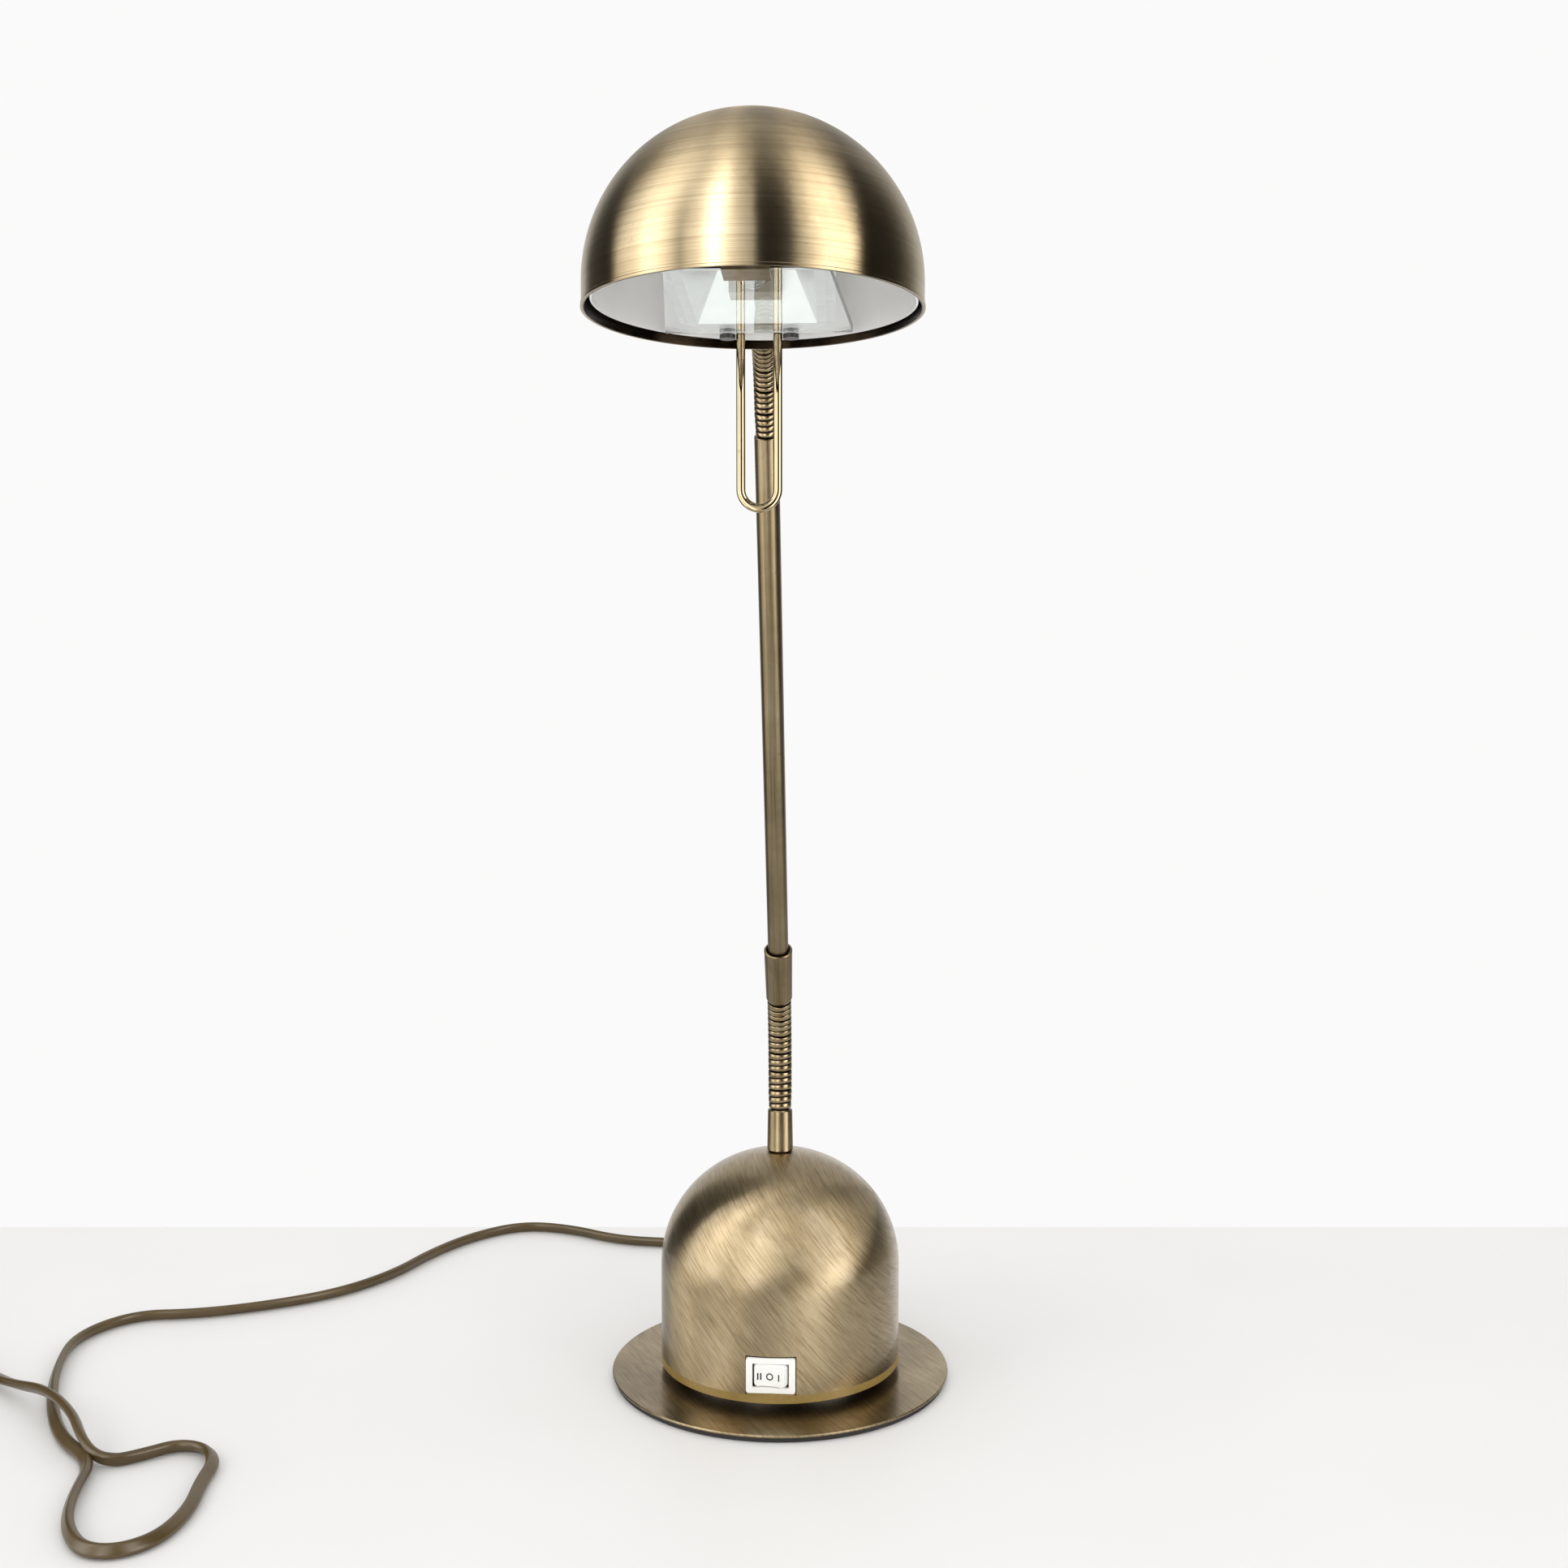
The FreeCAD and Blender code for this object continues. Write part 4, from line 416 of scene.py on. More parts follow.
def lathe(name, profile, place, material, count=64):
    """A closed solid turned about Z from (radius, height) points in mm, moved by place."""
    vertices = []
    for radius, height in profile:
        for side in range(count):
            angle = 2 * math.pi * side / count
            vertices.append(place @ (Vector((radius * math.cos(angle), radius * math.sin(angle),
                                             height)) * MM))
    return mesh_piece(name, vertices, ring_faces(len(profile), count), material)


# ---------------------------------------------------------------- rocker and bezel
ROCKER_HALF, ROCKER_PROUD, ROCKER_DISH = 7.45, 2.3, 1.3
ROCKER_SPAN = math.sqrt(ROCKER_HALF ** 2 - (ROCKER_PROUD + ROCKER_DISH) ** 2)
ROCKER_CURVE = (ROCKER_SPAN ** 2 + ROCKER_DISH ** 2) / (2 * ROCKER_DISH)     # the hollow's radius
ROCKER_PLACE = (HOUSING_TURN @ Matrix.Translation(Vector((0, -51.82, 19.2)) * MM)
                @ Matrix.Rotation(math.radians(170.0), 4, "Z"))
MARK_RAISE, MARK_DEPTH = 0.06, 0.10    # above the rocker's face, and how thick they are
MARK_LOW = -0.55                       # the marks sit a little below the rocker's middle
HOUSING_RADIUS = 53.92
BEZEL_WIDTH, BEZEL_HEIGHT, BEZEL_BOTTOM = 21.0, 15.0, 11.7


def face_out(across):
    """How far the rocker's hollow face stands out from the pivot."""
    return ROCKER_PROUD + ROCKER_CURVE - math.sqrt(ROCKER_CURVE ** 2 - across ** 2)


def rocker_point(across, out, up):
    """A point of the rocker in the scene; across runs to the right as the camera sees it."""
    return ROCKER_PLACE @ (Vector((-across, out, up)) * MM)


def make_rocker(finishes):
    """The key with rounded corners and edges, inside a circle about its pivot."""
    half_height, floor, side_room = 4.85, -3.0, 0.02
    corner, least_corner = 1.5, 0.3
    corner_steps, side_steps = 8, 16
    face_inset = 0.5
    edge_rounding = ((0.25, 0.05), (0.08, 0.18), (0.0, 0.45))      # (inset, drop) of each ring

    def outline(half_width, inset):
        """Round the key, with the sides divided so that they follow the hollow face."""
        rounding = max(corner - inset, least_corner)
        points = []
        for centre_x, centre_y, first in ((1, 1, 0), (-1, 1, 90), (-1, -1, 180), (1, -1, 270)):
            for step in range(corner_steps + 1):
                angle = math.radians(first + step * 90 / corner_steps)
                x = centre_x * (half_width - inset - rounding) + rounding * math.cos(angle)
                y = centre_y * (half_height - inset - rounding) + rounding * math.sin(angle)
                points.append((x, y))
        divided = []
        for index, (x, y) in enumerate(points):
            divided.append((x, y))
            next_x, next_y = points[(index + 1) % len(points)]
            if index % (corner_steps + 1) == corner_steps:
                divided += [(x + (next_x - x) * step / side_steps,
                             y + (next_y - y) * step / side_steps)
                            for step in range(1, side_steps)]
        return divided

    rings = [[(x * share, y * share, face_out(x * share))
              for x, y in outline(ROCKER_SPAN, face_inset)]
             for share in (0.02, 0.25, 0.5, 0.75, 1.0)]
    for inset, drop in edge_rounding:
        rings.append([(x, y, face_out(x) - drop) for x, y in outline(ROCKER_SPAN, inset)])
    for out in (1.5, 0.0, floor):
        width = math.sqrt(ROCKER_HALF ** 2 - out ** 2) - side_room
        rings.append([(x, y, out) for x, y in outline(width, 0.0)])
    vertices = [rocker_point(x, out, y) for ring in rings for x, y, out in ring]
    key = mesh_piece("rocker_rounded", vertices, ring_faces(len(rings), len(rings[0])),
                     finishes["white_plastic"])
    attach(key, "rocker_key")
    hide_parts("rocker")


def make_bezel_gap(finishes):
    """A thin near-black strip of painted shade where the bezel meets its notch, on three sides of the
    bezel.
    """
    half, low, high = BEZEL_WIDTH / 2, BEZEL_BOTTOM, BEZEL_BOTTOM + BEZEL_HEIGHT
    wide, under = 0.38, 0.25               # reach beyond the bezel, and beneath it
    lift, thickness = 0.05, 0.1            # above the housing's wall

    def on_wall(across, up, out):
        angle = across / HOUSING_RADIUS
        radius = HOUSING_RADIUS + out
        point = Vector((radius * math.sin(angle), -radius * math.cos(angle), up)) * MM
        return HOUSING_TURN @ point

    strips = [[(-half - wide, low), (-half - wide, high + wide), (half + wide, high + wide),
               (half + wide, low)],
              [(-half + under, low), (-half + under, high - under), (half - under, high - under),
               (half - under, low)]]
    vertices, faces = [], []
    legs, steps = 3, 12
    for leg in range(legs):
        for step in range(steps + (leg == legs - 1)):
            share = step / steps
            for line in strips:
                (x, y), (to_x, to_y) = line[leg], line[leg + 1]
                for out in (lift, lift - thickness):
                    vertices.append(on_wall(x + (to_x - x) * share, y + (to_y - y) * share, out))
    for index in range(len(vertices) // 4 - 1):
        a, b = index * 4, index * 4 + 4
        faces += [(a, a + 2, b + 2, b), (a + 1, b + 1, b + 3, a + 3), (a, b, b + 1, a + 1),
                  (a + 2, a + 3, b + 3, b + 2)]
    last = len(vertices) - 4
    faces += [(0, 1, 3, 2), (last, last + 2, last + 3, last + 1)]
    # painted shade: a black strip on the housing's wall where the gap round the bezel lies in shade
    gap = mesh_piece("bezel_gap_shade", vertices, faces, finishes["painted_shade_black"], smooth=False)
    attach(gap, "housing")


def mark_patch(name, outline_pairs, finishes):
    """A thin raised band between two lines of (across, up) points."""
    vertices, faces = [], []
    count = len(outline_pairs)
    for first, second in outline_pairs:
        for across, up in (first, second):
            for lift in (MARK_RAISE, MARK_RAISE - MARK_DEPTH):
                vertices.append(rocker_point(across, face_out(across) + lift, up + MARK_LOW))
    for index in range(count - 1):
        a, b = index * 4, (index + 1) * 4
        faces += [(a, b, b + 2, a + 2), (a + 1, a + 3, b + 3, b + 1),
                  (a, a + 1, b + 1, b), (a + 2, b + 2, b + 3, a + 3)]
    closed = (Vector(outline_pairs[0][0]) - Vector(outline_pairs[-1][0])).length < 1e-6
    if not closed:
        last = (count - 1) * 4
        faces += [(0, 2, 3, 1), (last, last + 1, last + 3, last + 2)]
    thing = mesh_piece(name, vertices, faces, finishes["mark_grey"], smooth=False)
    work = bmesh.new()
    work.from_mesh(thing.data)
    bmesh.ops.remove_doubles(work, verts=work.verts, dist=1e-7)
    bmesh.ops.recalc_face_normals(work, faces=work.faces)
    work.to_mesh(thing.data)
    work.free()
    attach(thing, "rocker_key")


def make_marks(finishes):
    """II, O and I on the rocker."""
    half_length, half_width, bar_steps = 1.45, 0.30, 12
    heights = [half_length * (2 * index / bar_steps - 1) for index in range(bar_steps + 1)]
    for name, across in (("mark_two_a", -5.0), ("mark_two_b", -3.8), ("mark_one", 4.05)):
        pairs = [((across - half_width, up), (across + half_width, up)) for up in heights]
        mark_patch(name, pairs, finishes)
    ring_radius, ring_half, ring_steps = 1.28, 0.27, 40
    pairs = []
    for index in range(ring_steps + 1):
        angle = 2 * math.pi * (index % ring_steps) / ring_steps
        pairs.append([((ring_radius + side * ring_half) * math.cos(angle),
                       (ring_radius + side * ring_half) * math.sin(angle)) for side in (1, -1)])
    mark_patch("mark_zero", pairs, finishes)


# ---------------------------------------------------------------- ribbed necks
FERRULE_TOP = 120.72
LOWER_STRETCHES, LOWER_RIBS = 6, 3
UPPER_STRETCHES, UPPER_RIBS = 6, 4
LOWER_CURVED_SHARE = 0.917             # of the lower neck's length, over which it bends
UPPER_STRAIGHT, UPPER_BEND_RADIUS = 11.0, 47.0
SLEEVE_GAP, SLEEVE_LENGTH = 0.45, 28.0
ROD_LENGTH, ROD_RECESS, ROD_GAP = 236.2, 2.3, 0.35
RIB_SLANT = 4.0                        # the wound ribs climb to the right, in degrees
RIB_EDGE, RIB_CROWN, RIB_BITE = 0.16, 0.05, 0.3
BALL_FIT, CORE_OVERLAP = 0.2, 0.05
# radius and height of the ball's outline, in ball radii
KNOB_BALL = [(0.0, -0.45), (0.88, -0.45), (0.97, -0.22), (1.0, 0.0), (0.99, 0.12)]


class Neck:
    """One ribbed neck: its sizes, the lean of each rib and how many ribs a stretch has."""

    def __init__(self, prefix, start, leans, each, pitch, radius, depth, groove, gap, ball):
        self.prefix, self.each, self.pitch, self.radius = prefix, each, pitch, radius
        self.depth, self.groove, self.gap, self.ball = depth, groove, gap, ball
        self.ribs = []
        point = Vector(start)
        for lean in leans:
            end = point + heading(lean) * pitch
            self.ribs.append((point, lean))
            point = end
        self.end = point


def heading(lean):
    return Vector((0, -math.sin(math.radians(lean)), math.cos(math.radians(lean))))


def ring_points(profile, place, planes, count):
    """Vertices of (radius, height) points turned about Z; planes tilt the low and the high end."""
    low = min(height for radius, height in profile)
    high = max(height for radius, height in profile)
    points = []
    for radius, height in profile:
        share = (height - low) / (high - low)
        along_x, along_y = (first + (last - first) * share for first, last in zip(*planes))
        for side in range(count):
            angle = 2 * math.pi * side / count
            x, y = radius * math.cos(angle), radius * math.sin(angle)
            points.append(place @ (Vector((x, y, height + x * along_x + y * along_y)) * MM))
    return points


def ring_mesh(name, rings, finish, dark=None, count=56):
    """One mesh of several turned rings, each given as (profile, place, planes, closed round)."""
    vertices, faces, shaded = [], [], []
    for profile, place, planes, hollow in rings:
        first = len(vertices)
        vertices += ring_points(profile, place, planes, count)
        own = ring_faces(len(profile), count, closed_ends=not hollow)
        if hollow:
            last = (len(profile) - 1) * count
            own += [(last + side, last + (side + 1) % count, (side + 1) % count, side)
                    for side in range(count)]
        faces += [tuple(first + index for index in face) for face in own]
        shaded += [index // count in (0, len(profile) - 2, len(profile) - 1)
                   for index in range(len(own))]
    made = mesh_piece(name, vertices, faces, finish)
    # painted shade: the faces in the grooves, the low and high sides and the inner face, take the
    # near-black material
    if dark:
        made.data.materials.append(dark)
        for polygon, in_shadow in zip(made.data.polygons, shaded):
            polygon.material_index = int(in_shadow)
    return made


def rib_profile(radius, inner, low, high):
    edge, rounded = RIB_EDGE, RIB_EDGE * 0.3
    return [(inner, low), (radius - edge, low), (radius - rounded, low + rounded),
            (radius, low + edge), (radius + RIB_CROWN, (low + high) / 2), (radius, high - edge),
            (radius - rounded, high - rounded), (radius - edge, high), (inner, high)]


def end_planes(neck, index, slant):
    """Slopes of a rib's low and high faces: square to the mean lean at a hinge, else slanted."""
    lean = neck.ribs[index][1]
    planes = []
    for at_hinge, beyond in ((index % neck.each == 0, index - 1),
                             (index % neck.each == neck.each - 1, index + 1)):
        other = neck.ribs[beyond][1] if 0 <= beyond < len(neck.ribs) else lean
        if at_hinge:
            planes.append((0.0, math.tan(math.radians((other - lean) / 2))))
        else:
            planes.append((math.tan(math.radians(slant)), 0.0))
    return planes


def make_neck(neck, loose, finishes):
    """Bright ribs over a core in painted shade for each stretch, with the ribs' faces in the grooves
    in painted shade too; loose says how far some ribs are sunk.
    """
    outer, inner, ball = neck.radius - neck.depth, neck.ball + BALL_FIT, neck.ball
    level = ((0.0, 0.0), (0.0, 0.0))
    for stretch in range(len(neck.ribs) // neck.each):
        ribs, cores = [], []
        first = stretch * neck.each
        for index in range(first, first + neck.each):
            point, lean = neck.ribs[index]
            place = Matrix.Translation(point * MM) @ Matrix.Rotation(math.radians(lean), 4, "X")
            at_low, at_high = index == first, index == first + neck.each - 1
            low = (neck.gap if at_low else neck.groove) / 2
            high = neck.pitch - (neck.gap if at_high else neck.groove) / 2
            radius = neck.radius - loose.get(index, 0.0)
            ribs.append((rib_profile(radius, outer - RIB_BITE, low, high), place,
                         end_planes(neck, index, RIB_SLANT), True))
            low = neck.gap / 2 if at_low else -CORE_OVERLAP
            high = neck.pitch - (neck.gap / 2 if at_high else -CORE_OVERLAP)
            cores.append(([(inner, low), (outer, low), (outer, high), (inner, high)], place,
                          end_planes(neck, index, 0.0), True))
        point, lean = neck.ribs[first]
        place = Matrix.Translation(point * MM) @ Matrix.Rotation(math.radians(lean), 4, "X")
        root = inner + 0.1
        knob = [(radius * ball, height * ball) for radius, height in KNOB_BALL]
        knob += [(root, 0.3 * ball), (root, 0.55 * ball), (0.0, 0.55 * ball)]
        cores.append((knob, place, level, False))
        number = stretch + 1
        # the core that shows in the grooves is painted shade
        made = [ring_mesh("%s_ribs_%d" % (neck.prefix, number), ribs, finishes["neck"],
                          finishes["painted_shade_black"]),
                ring_mesh("%s_core_%d" % (neck.prefix, number), cores, finishes["painted_shade_black"],
                          count=40)]
        for thing in made:
            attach(thing, "%s_%d" % (neck.prefix, number))
            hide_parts("%s_neck_%d" % (neck.prefix, number))


def make_necks(finishes):
    """The lower neck from the ferrule to the sleeve, and the upper one from the rod to the shade."""
    count = LOWER_STRETCHES * LOWER_RIBS
    leans = [ARM_TILT * min(1.0, (index + 0.5) / count / LOWER_CURVED_SHARE) ** 2
             for index in range(count)]
    lower = Neck("lower", start=(0, 0, FERRULE_TOP), leans=leans, each=LOWER_RIBS, pitch=2.94,
                 radius=5.3, depth=0.35, groove=0.75, gap=0.95, ball=3.8)
    make_neck(lower, {0: 0.22, 1: 0.10}, finishes)
    rod_way = SLEEVE_GAP + SLEEVE_LENGTH + ROD_LENGTH - ROD_RECESS + ROD_GAP
    start, pitch = lower.end + heading(ARM_TILT) * rod_way, 2.2
    leans = [ARM_TILT + math.degrees(max(0.0, (index + 0.5) * pitch - UPPER_STRAIGHT)
                                     / UPPER_BEND_RADIUS)
             for index in range(UPPER_STRETCHES * UPPER_RIBS)]
    upper = Neck("upper", start=start, leans=leans, each=UPPER_RIBS, pitch=pitch, radius=4.15,
                 depth=0.34, groove=0.66, gap=0.85, ball=2.95)
    make_neck(upper, {0: 0.28, 1: 0.22, 2: 0.10}, finishes)


# ---------------------------------------------------------------- lead
CORD_WIDTH, CORD_HEIGHT = 5.4, 3.7
CORD_SQUARE = 0.72                     # power that squares the section's ellipse
WAIST_DEPTH, WAIST_WIDTH = 0.07, 0.7   # share of the height, and mm
RELIEF_TIP, RELIEF_HEIGHT, OUTLET_RUN = 86.02, 17.0, 17.0
ROUTE = [
    (2, 128, 9.0), (-9, 150, 2.3), (-34, 165, 2.3), (-66, 167, 2.3),
    (-97, 171, 2.3), (-126, 189, 2.3), (-155, 195, 2.3), (-179, 176, 2.3), (-197, 145, 2.3),
    (-208, 112, 2.3), (-228, 84, 2.3), (-256, 66, 2.3), (-290, 52, 2.3), (-321, 49, 2.3),
    (-337, 20, 2.3), (-328, -16, 2.3), (-314, -50, 2.3), (-293, -86, 2.3), (-270, -106, 2.3),
    (-265, -132, 2.3), (-259, -151, 2.3), (-251, -165, 2.3), (-241, -175, 2.3), (-228, -175, 2.3),
    (-218, -164, 2.3), (-216, -143, 2.3), (-220, -122, 2.3), (-221, -105, 2.3), (-229, -93, 2.3),
    (-242, -91, 2.3), (-252, -100, 2.3), (-260, -105.5, 2.6), (-269, -105.5, 4.0),
    (-279, -96, 7.4), (-290, -80, 10.5), (-311, -58, 10.5), (-335, -41, 5.5),
]
COIL_ENTRY = Vector((-375.4, -9.7, 0))
COIL_ALONG = Vector((-0.81, 0.586, 0)).normalized()
COIL_SIDE = Vector((-COIL_ALONG.y, COIL_ALONG.x, 0))
COIL_OUTER, COIL_PITCH = 36.5, 5.9
COIL_IN, COIL_OUT = 4.0, 3.0           # half turns inwards, and back out on the upper layer
COIL_LAYER, COIL_STEP = 3.0, 5.1       # height of the lower layer, and from it to the upper
TURN_POINTS = 16                       # control points of a whole turn
COIL_TAIL, PLUG_MIDDLE = 20.0, 6.85
STRAIGHT_RUN = 4.6                     # of cord before the coil, and into the plug
PLUG_DROP_RUN, DROP_EASE = 13.8, 5.0   # way over which the cord comes down to the plug


def eased(share):
    """A share that leaves 0 and reaches 1 smoothly."""
    return share * share * (3 - 2 * share)


def coil_point(half_turns):
    """Point of the coil after so many half turns: in on the floor layer, out on the one above."""
    shrink = COIL_PITCH / 2
    inner = COIL_OUTER - shrink * COIL_IN
    if half_turns <= COIL_IN:
        radius, rise = COIL_OUTER - shrink * half_turns, 0.0
    elif half_turns <= COIL_IN + 1:
        radius, rise = inner, half_turns - COIL_IN
    else:
        radius, rise = inner + shrink * (half_turns - COIL_IN - 1), 1.0
    height = COIL_LAYER + COIL_STEP * eased(rise)
    angle = math.pi * half_turns
    spoke = COIL_SIDE * -math.cos(angle) + COIL_ALONG * math.sin(angle)
    centre = COIL_ENTRY + COIL_SIDE * COIL_OUTER
    return centre + spoke * radius + Vector((0, 0, height))


def lead_points():
    """Control points of the whole lead in mm."""
    tip = HOUSING_TURN @ Vector((0, RELIEF_TIP, RELIEF_HEIGHT))
    out = HOUSING_TURN.to_3x3() @ Vector((0, 1, 0))
    points = [tip, tip + out * OUTLET_RUN] + [Vector(point) for point in ROUTE]
    total = COIL_IN + 1 + COIL_OUT
    steps = int(total / 2 * TURN_POINTS)
    entry = coil_point(0.0)
    points += [entry - COIL_ALONG * (OUTLET_RUN + STRAIGHT_RUN), entry - COIL_ALONG * STRAIGHT_RUN]
    points += [coil_point(total * index / steps) for index in range(steps + 1)]
    last = coil_point(total)
    along = last - coil_point(total - 0.01)
    along.z = 0
    along.normalize()
    level = last + along * COIL_TAIL
    down = level + along * PLUG_DROP_RUN
    down.z = PLUG_MIDDLE
    points += [last + along * COIL_TAIL * 0.5, level, level + along * DROP_EASE]
    points += [down - along * DROP_EASE, down, down + along * STRAIGHT_RUN]
    return points


def spline_line(name, points):
    """The points along the NURBS spline through the control points, in metres."""
    curve = bpy.data.curves.new(name, "CURVE")
    curve.dimensions = "3D"
    curve.resolution_u = 8
    spline = curve.splines.new("NURBS")
    spline.points.add(len(points) - 1)
    for item, point in zip(spline.points, points):
        item.co = (*(point * MM), 1.0)
    spline.order_u = 3
    spline.use_endpoint_u = True
    holder = bpy.data.objects.new(name, curve)
    bpy.context.scene.collection.objects.link(holder)
    bpy.context.view_layer.update()
    mesh = bpy.data.meshes.new_from_object(holder)
    line = [vertex.co.copy() for vertex in mesh.vertices]
    bpy.data.objects.remove(holder)
    return line


def cord_section(count=28):
    """A flat two-core section: an oblong with a faint waist, as (across, up) in mm."""
    points = []
    for index in range(count):
        angle = 2 * math.pi * index / count
        across, up = (math.copysign(abs(value) ** CORD_SQUARE, value) * size / 2
                      for value, size in ((math.cos(angle), CORD_WIDTH),
                                          (math.sin(angle), CORD_HEIGHT)))
        waist = 1 - WAIST_DEPTH * math.exp(-(across / WAIST_WIDTH) ** 2)
        points.append((across, up * waist))
    return points


# how far the flat cord is rolled on its side, in degrees, at shares of the way to the coil
ROLL = [(0.0, 0.0), (0.08, 10.0), (0.14, 62.0), (0.30, 70.0), (0.40, 52.0), (0.52, 66.0),
        (0.60, 40.0), (0.70, 62.0), (0.78, 30.0), (0.86, 68.0), (0.93, 50.0), (1.0, 0.0)]
ROLL_END = 0.56                        # the coil starts at this share of the whole lead


def roll_at(share):
    """The roll at a share of the whole lead."""
    share = min(share / ROLL_END, 1.0)
    for (start, low), (end, high) in zip(ROLL, ROLL[1:]):
        if share <= end:
            return math.radians(low + (high - low) * eased((share - start) / (end - start)))
    return 0.0


def make_lead(finishes):
    """The whole lead as one flat cord, lifted where it would sink into the table."""
    line = spline_line("lead_line", lead_points())
    section = cord_section()
    clearance = 0.05 * MM
    lengths = [0.0]
    for before, after in zip(line, line[1:]):
        lengths.append(lengths[-1] + (after - before).length)
    vertices = []
    for index, point in enumerate(line):
        ahead = line[min(index + 1, len(line) - 1)] - line[max(index - 1, 0)]
        ahead.normalize()
        across = Vector((0, 0, 1)).cross(ahead).normalized()
        up = ahead.cross(across)
        roll = roll_at(lengths[index] / lengths[-1])
        side = across * math.cos(roll) + up * math.sin(roll)
        top = up * math.cos(roll) - across * math.sin(roll)
        ring = [point + (side * a + top * b) * MM for a, b in section]
        lowest = min(vertex.z for vertex in ring)
        if lowest < clearance:
            ring = [vertex + Vector((0, 0, clearance - lowest)) for vertex in ring]
        vertices += ring
    lead = mesh_piece("lead", vertices, ring_faces(len(line), len(section)), finishes["cord_olive"])
    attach(lead, "housing")
    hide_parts("cord_run", "cord_coil")


def make_relief(finishes):
    """Tapered strain relief with a flange and six ribs, round the lead's outlet."""
    start, flange, length, tip = 54.02, 2.0, 30.0, 3.0
    root, taper = 4.55, 1.25
    ribs, first_rib, rib_pitch, rib_depth = 6, 2.0, 4.4, 0.75
    profile = [(0.0, -4.0), (3.9, -4.0), (3.95, 0.0), (6.2, 0.0), (6.5, 0.3), (6.5, flange - 0.5),
               (6.1, flange), (4.6, flange + 0.05)]
    for index in range(ribs):
        low = flange + first_rib + index * rib_pitch
        radius = root - taper * (low - flange) / length
        profile += [(radius, low), (radius - 0.1, low + 0.25), (radius - rib_depth, low + 0.45),
                    (radius - rib_depth, low + 1.35), (radius - 0.12, low + 1.55),
                    (radius - 0.05, low + 1.8)]
    profile += [(tip + 0.2, length + flange - 1.0), (tip, length + flange - 0.4),
                (tip - 0.3, length + flange), (0.0, length + flange)]
    place = (HOUSING_TURN @ Matrix.Translation(Vector((0, start, RELIEF_HEIGHT)) * MM)
             @ Matrix.Rotation(math.radians(-90), 4, "X"))
    relief = lathe("relief_ribbed", profile, place, finishes["plug_olive"], 48)
    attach(relief, "housing")
    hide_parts("cord_relief")


# ---------------------------------------------------------------- stage
FLOOR_END = 206.0                      # the table's far edge, behind the lamp
FLOOR_REACH = 3000.0                   # to the sides and to the front
FLOOR_DROP = 0.0002                    # metres below the lamp's pad
FLOOR_MIRRORED = 0.45                  # metres round the lamp within which metal shows the table


def make_stage():
    """A white table; mirrored rays pass through it away from the lamp."""
    floor = Finish("table_white", Roughness=0.5)
    cloud = floor.noise(3.0, detail=3.0)
    floor.colour(floor.ramp(cloud, (0.3, linear(236, 235, 234)), (0.7, linear(240, 240, 239))))
    far = floor.node("ShaderNodeVectorMath", operation="LENGTH")
    floor.link(floor.place, far.inputs[0])
    beyond = floor.added(far.outputs["Value"], FLOOR_MIRRORED, "GREATER_THAN")
    glossy = floor.node("ShaderNodeLightPath").outputs["Is Glossy Ray"]
    clear = floor.node("ShaderNodeBsdfTransparent")
    choice = floor.node("ShaderNodeMixShader")
    floor.link(floor.added(beyond, glossy, "MULTIPLY"), choice.inputs["Fac"])
    floor.link(floor.shader.outputs["BSDF"], choice.inputs[1])
    floor.link(clear.outputs["BSDF"], choice.inputs[2])
    output = [item for item in floor.tree.nodes if item.type == "OUTPUT_MATERIAL"][0]
    floor.link(choice.outputs["Shader"], output.inputs["Surface"])
    corners = [view_point(x * FLOOR_REACH, y) for x, y in
               ((-1, -FLOOR_REACH), (1, -FLOOR_REACH), (1, FLOOR_END), (-1, FLOOR_END))]
    table = mesh_piece("table", corners, [(0, 1, 2, 3)], floor.material, smooth=False)
    table.location.z = -FLOOR_DROP


# brightness that the metal mirrors by direction, in degrees round from the camera's side and
# positive to the right
SURROUND = [(-180, 0.90), (-146, 0.75), (-136, 0.08), (-101, 0.05), (-97, 1.9), (-80, 2.8),
            (-70, 4.8), (-60, 3.2), (-49, 1.2), (-45, 0.50), (-41, 1.8), (-32, 2.6), (-23, 6.8),
            (-15, 2.6), (-6, 1.4), (3, 0.9), (5, 0.02), (28, 0.03), (33, 0.8), (42, 2.4), (52, 5.2),
            (68, 5.6), (74, 3.6), (77, 0.04), (114, 0.05), (130, 0.25), (146, 0.75), (180, 0.90)]
BRIGHTEST = 8.0                        # the ramps hold shares of this brightness
WALL_TINT = (1.0, 0.985, 0.96)
CEILING, CEILING_FROM = (0.85, 0.85, 0.84), 0.86       # brightness, and upward share of the ray


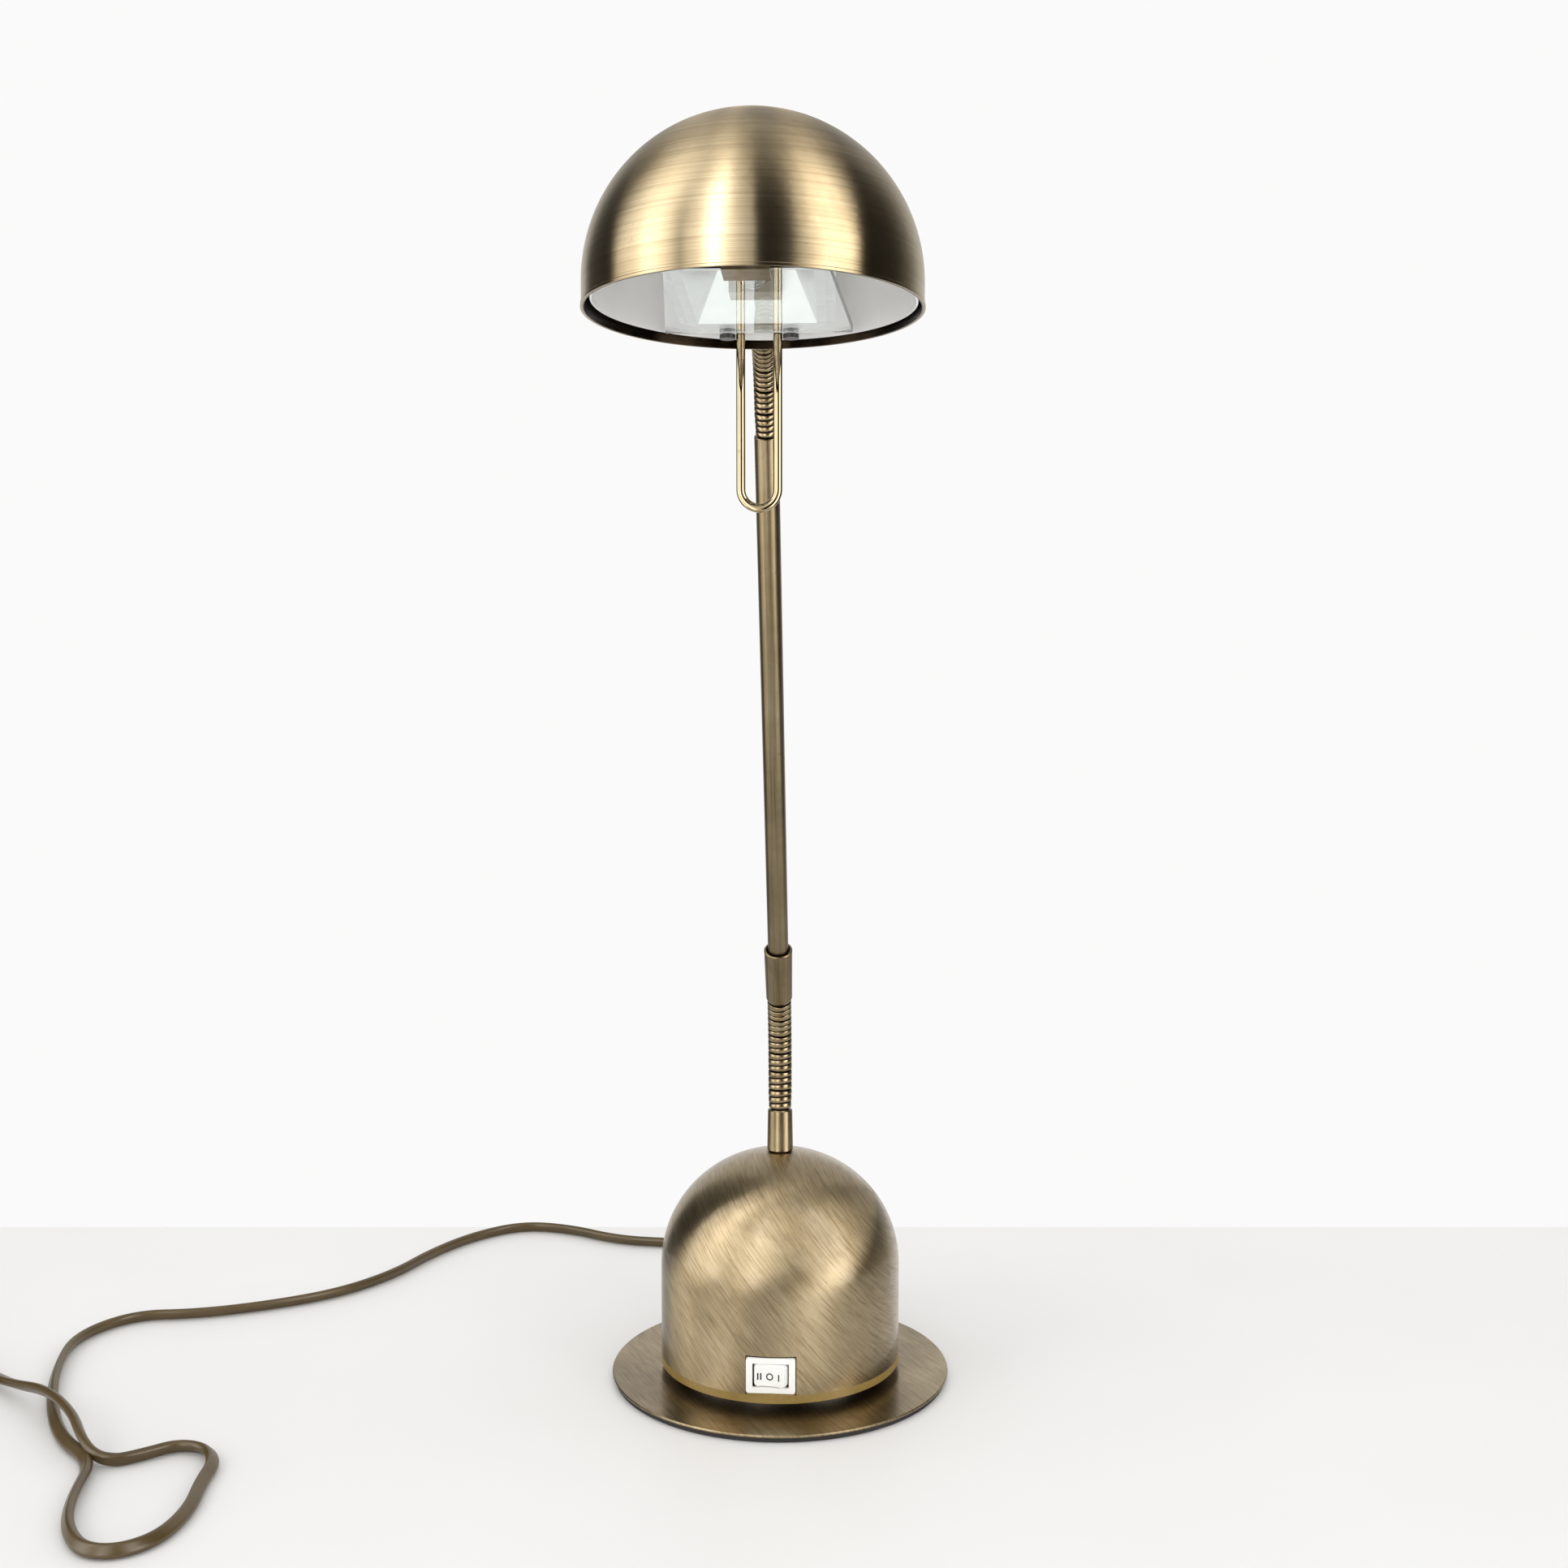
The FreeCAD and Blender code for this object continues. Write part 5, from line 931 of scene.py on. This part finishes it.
def make_world():
    """White to the camera, even light on matt faces, and a room of light and dark in the metal."""
    world = bpy.data.worlds.new("surroundings")
    bpy.context.scene.world = world
    world.use_nodes = True
    tree = world.node_tree
    tree.nodes.clear()

    def node(kind, **settings):
        made = tree.nodes.new(kind)
        for key, value in settings.items():
            setattr(made, key, value)
        return made

    def number(operation, first, second=None):
        made = node("ShaderNodeMath", operation=operation)
        for target, value in zip(made.inputs, (first, second)):
            if hasattr(value, "is_linked"):
                tree.links.new(value, target)
            elif value is not None:
                target.default_value = value
        return made.outputs["Value"]

    direction = node("ShaderNodeTexCoord").outputs["Generated"]
    split = node("ShaderNodeSeparateXYZ")
    tree.links.new(direction, split.inputs["Vector"])
    x, y, z = (split.outputs[axis] for axis in "XYZ")
    around = number("ARCTAN2", x, number("MULTIPLY", y, -1.0))
    share = number("ADD", number("DIVIDE", around, 2 * math.pi), 0.5)
    ramp = node("ShaderNodeValToRGB")
    elements = ramp.color_ramp.elements
    while len(elements) < len(SURROUND):
        elements.new(0.5)
    for element, (angle, level) in zip(elements, SURROUND):
        element.position = angle / 360 + 0.5
        element.color = [level / BRIGHTEST * tint for tint in WALL_TINT] + [1.0]
    tree.links.new(share, ramp.inputs["Fac"])
    upward = node("ShaderNodeMapRange")
    tree.links.new(z, upward.inputs["Value"])
    upward.inputs["From Min"].default_value = CEILING_FROM
    upward.inputs["From Max"].default_value = 1.0
    room = node("ShaderNodeMix", data_type="RGBA")
    amount, walls, overhead = (room.inputs[index] for index in (0, 6, 7))
    tree.links.new(upward.outputs["Result"], amount)
    tree.links.new(ramp.outputs["Color"], walls)
    overhead.default_value = [level / BRIGHTEST for level in CEILING] + [1.0]

    paths = node("ShaderNodeLightPath")
    seen = node("ShaderNodeBackground")
    seen.inputs["Color"].default_value = linear(251, 250, 250)
    mirrored = node("ShaderNodeBackground")
    tree.links.new(room.outputs[2], mirrored.inputs["Color"])
    mirrored.inputs["Strength"].default_value = BRIGHTEST
    ambient = node("ShaderNodeBackground")
    ambient.inputs["Color"].default_value = (1.0, 0.995, 0.985, 1.0)
    ambient.inputs["Strength"].default_value = 0.98
    first = node("ShaderNodeMixShader")
    tree.links.new(paths.outputs["Is Glossy Ray"], first.inputs["Fac"])
    tree.links.new(ambient.outputs["Background"], first.inputs[1])
    tree.links.new(mirrored.outputs["Background"], first.inputs[2])
    second = node("ShaderNodeMixShader")
    direct = number("MAXIMUM", paths.outputs["Is Camera Ray"], paths.outputs["Is Transmission Ray"])
    tree.links.new(direct, second.inputs["Fac"])
    tree.links.new(first.outputs["Shader"], second.inputs[1])
    tree.links.new(seen.outputs["Background"], second.inputs[2])
    output = node("ShaderNodeOutputWorld")
    tree.links.new(second.outputs["Shader"], output.inputs["Surface"])


def area_light(name, place, target, power, side=0.4):
    """A square lamp at a place that faces its target."""
    data = bpy.data.lights.new(name, "AREA")
    data.shape = "RECTANGLE"
    data.size, data.size_y = side, side
    data.energy = power
    light = bpy.data.objects.new(name, data)
    bpy.context.scene.collection.objects.link(light)
    light.location = place
    light.rotation_euler = (Vector(target) - Vector(place)).to_track_quat("-Z", "Y").to_euler()
    return light


def make_lights():
    """Two soft lamps that shape the shadows and a weaker one for the liner; places in metres.

    The metal doesn't mirror them, only the surroundings.
    """
    middle, liner = (0.0, -0.05, 0.2), (0.0, -0.22, 0.45)
    for name, place, target, power in (("soft_left", (-0.91, -0.67, 0.64), middle, 1.4),
                                       ("soft_right", (0.85, -0.72, 0.655), middle, 1.4),
                                       ("soft_below", (0.0, -0.62, 0.10), liner, 0.7)):
        lamp = area_light(name, place, target, power)
        lamp.visible_glossy = False
        lamp.visible_camera = False


# ---------------------------------------------------------------- build
make_camera()
bpy.context.scene.view_settings.view_transform = "Standard"
finishes = make_materials()
dress_nodes(finishes)
make_lead(finishes)
make_relief(finishes)
make_rocker(finishes)
make_bezel_gap(finishes)
make_marks(finishes)
make_necks(finishes)
make_stage()
make_world()
make_lights()
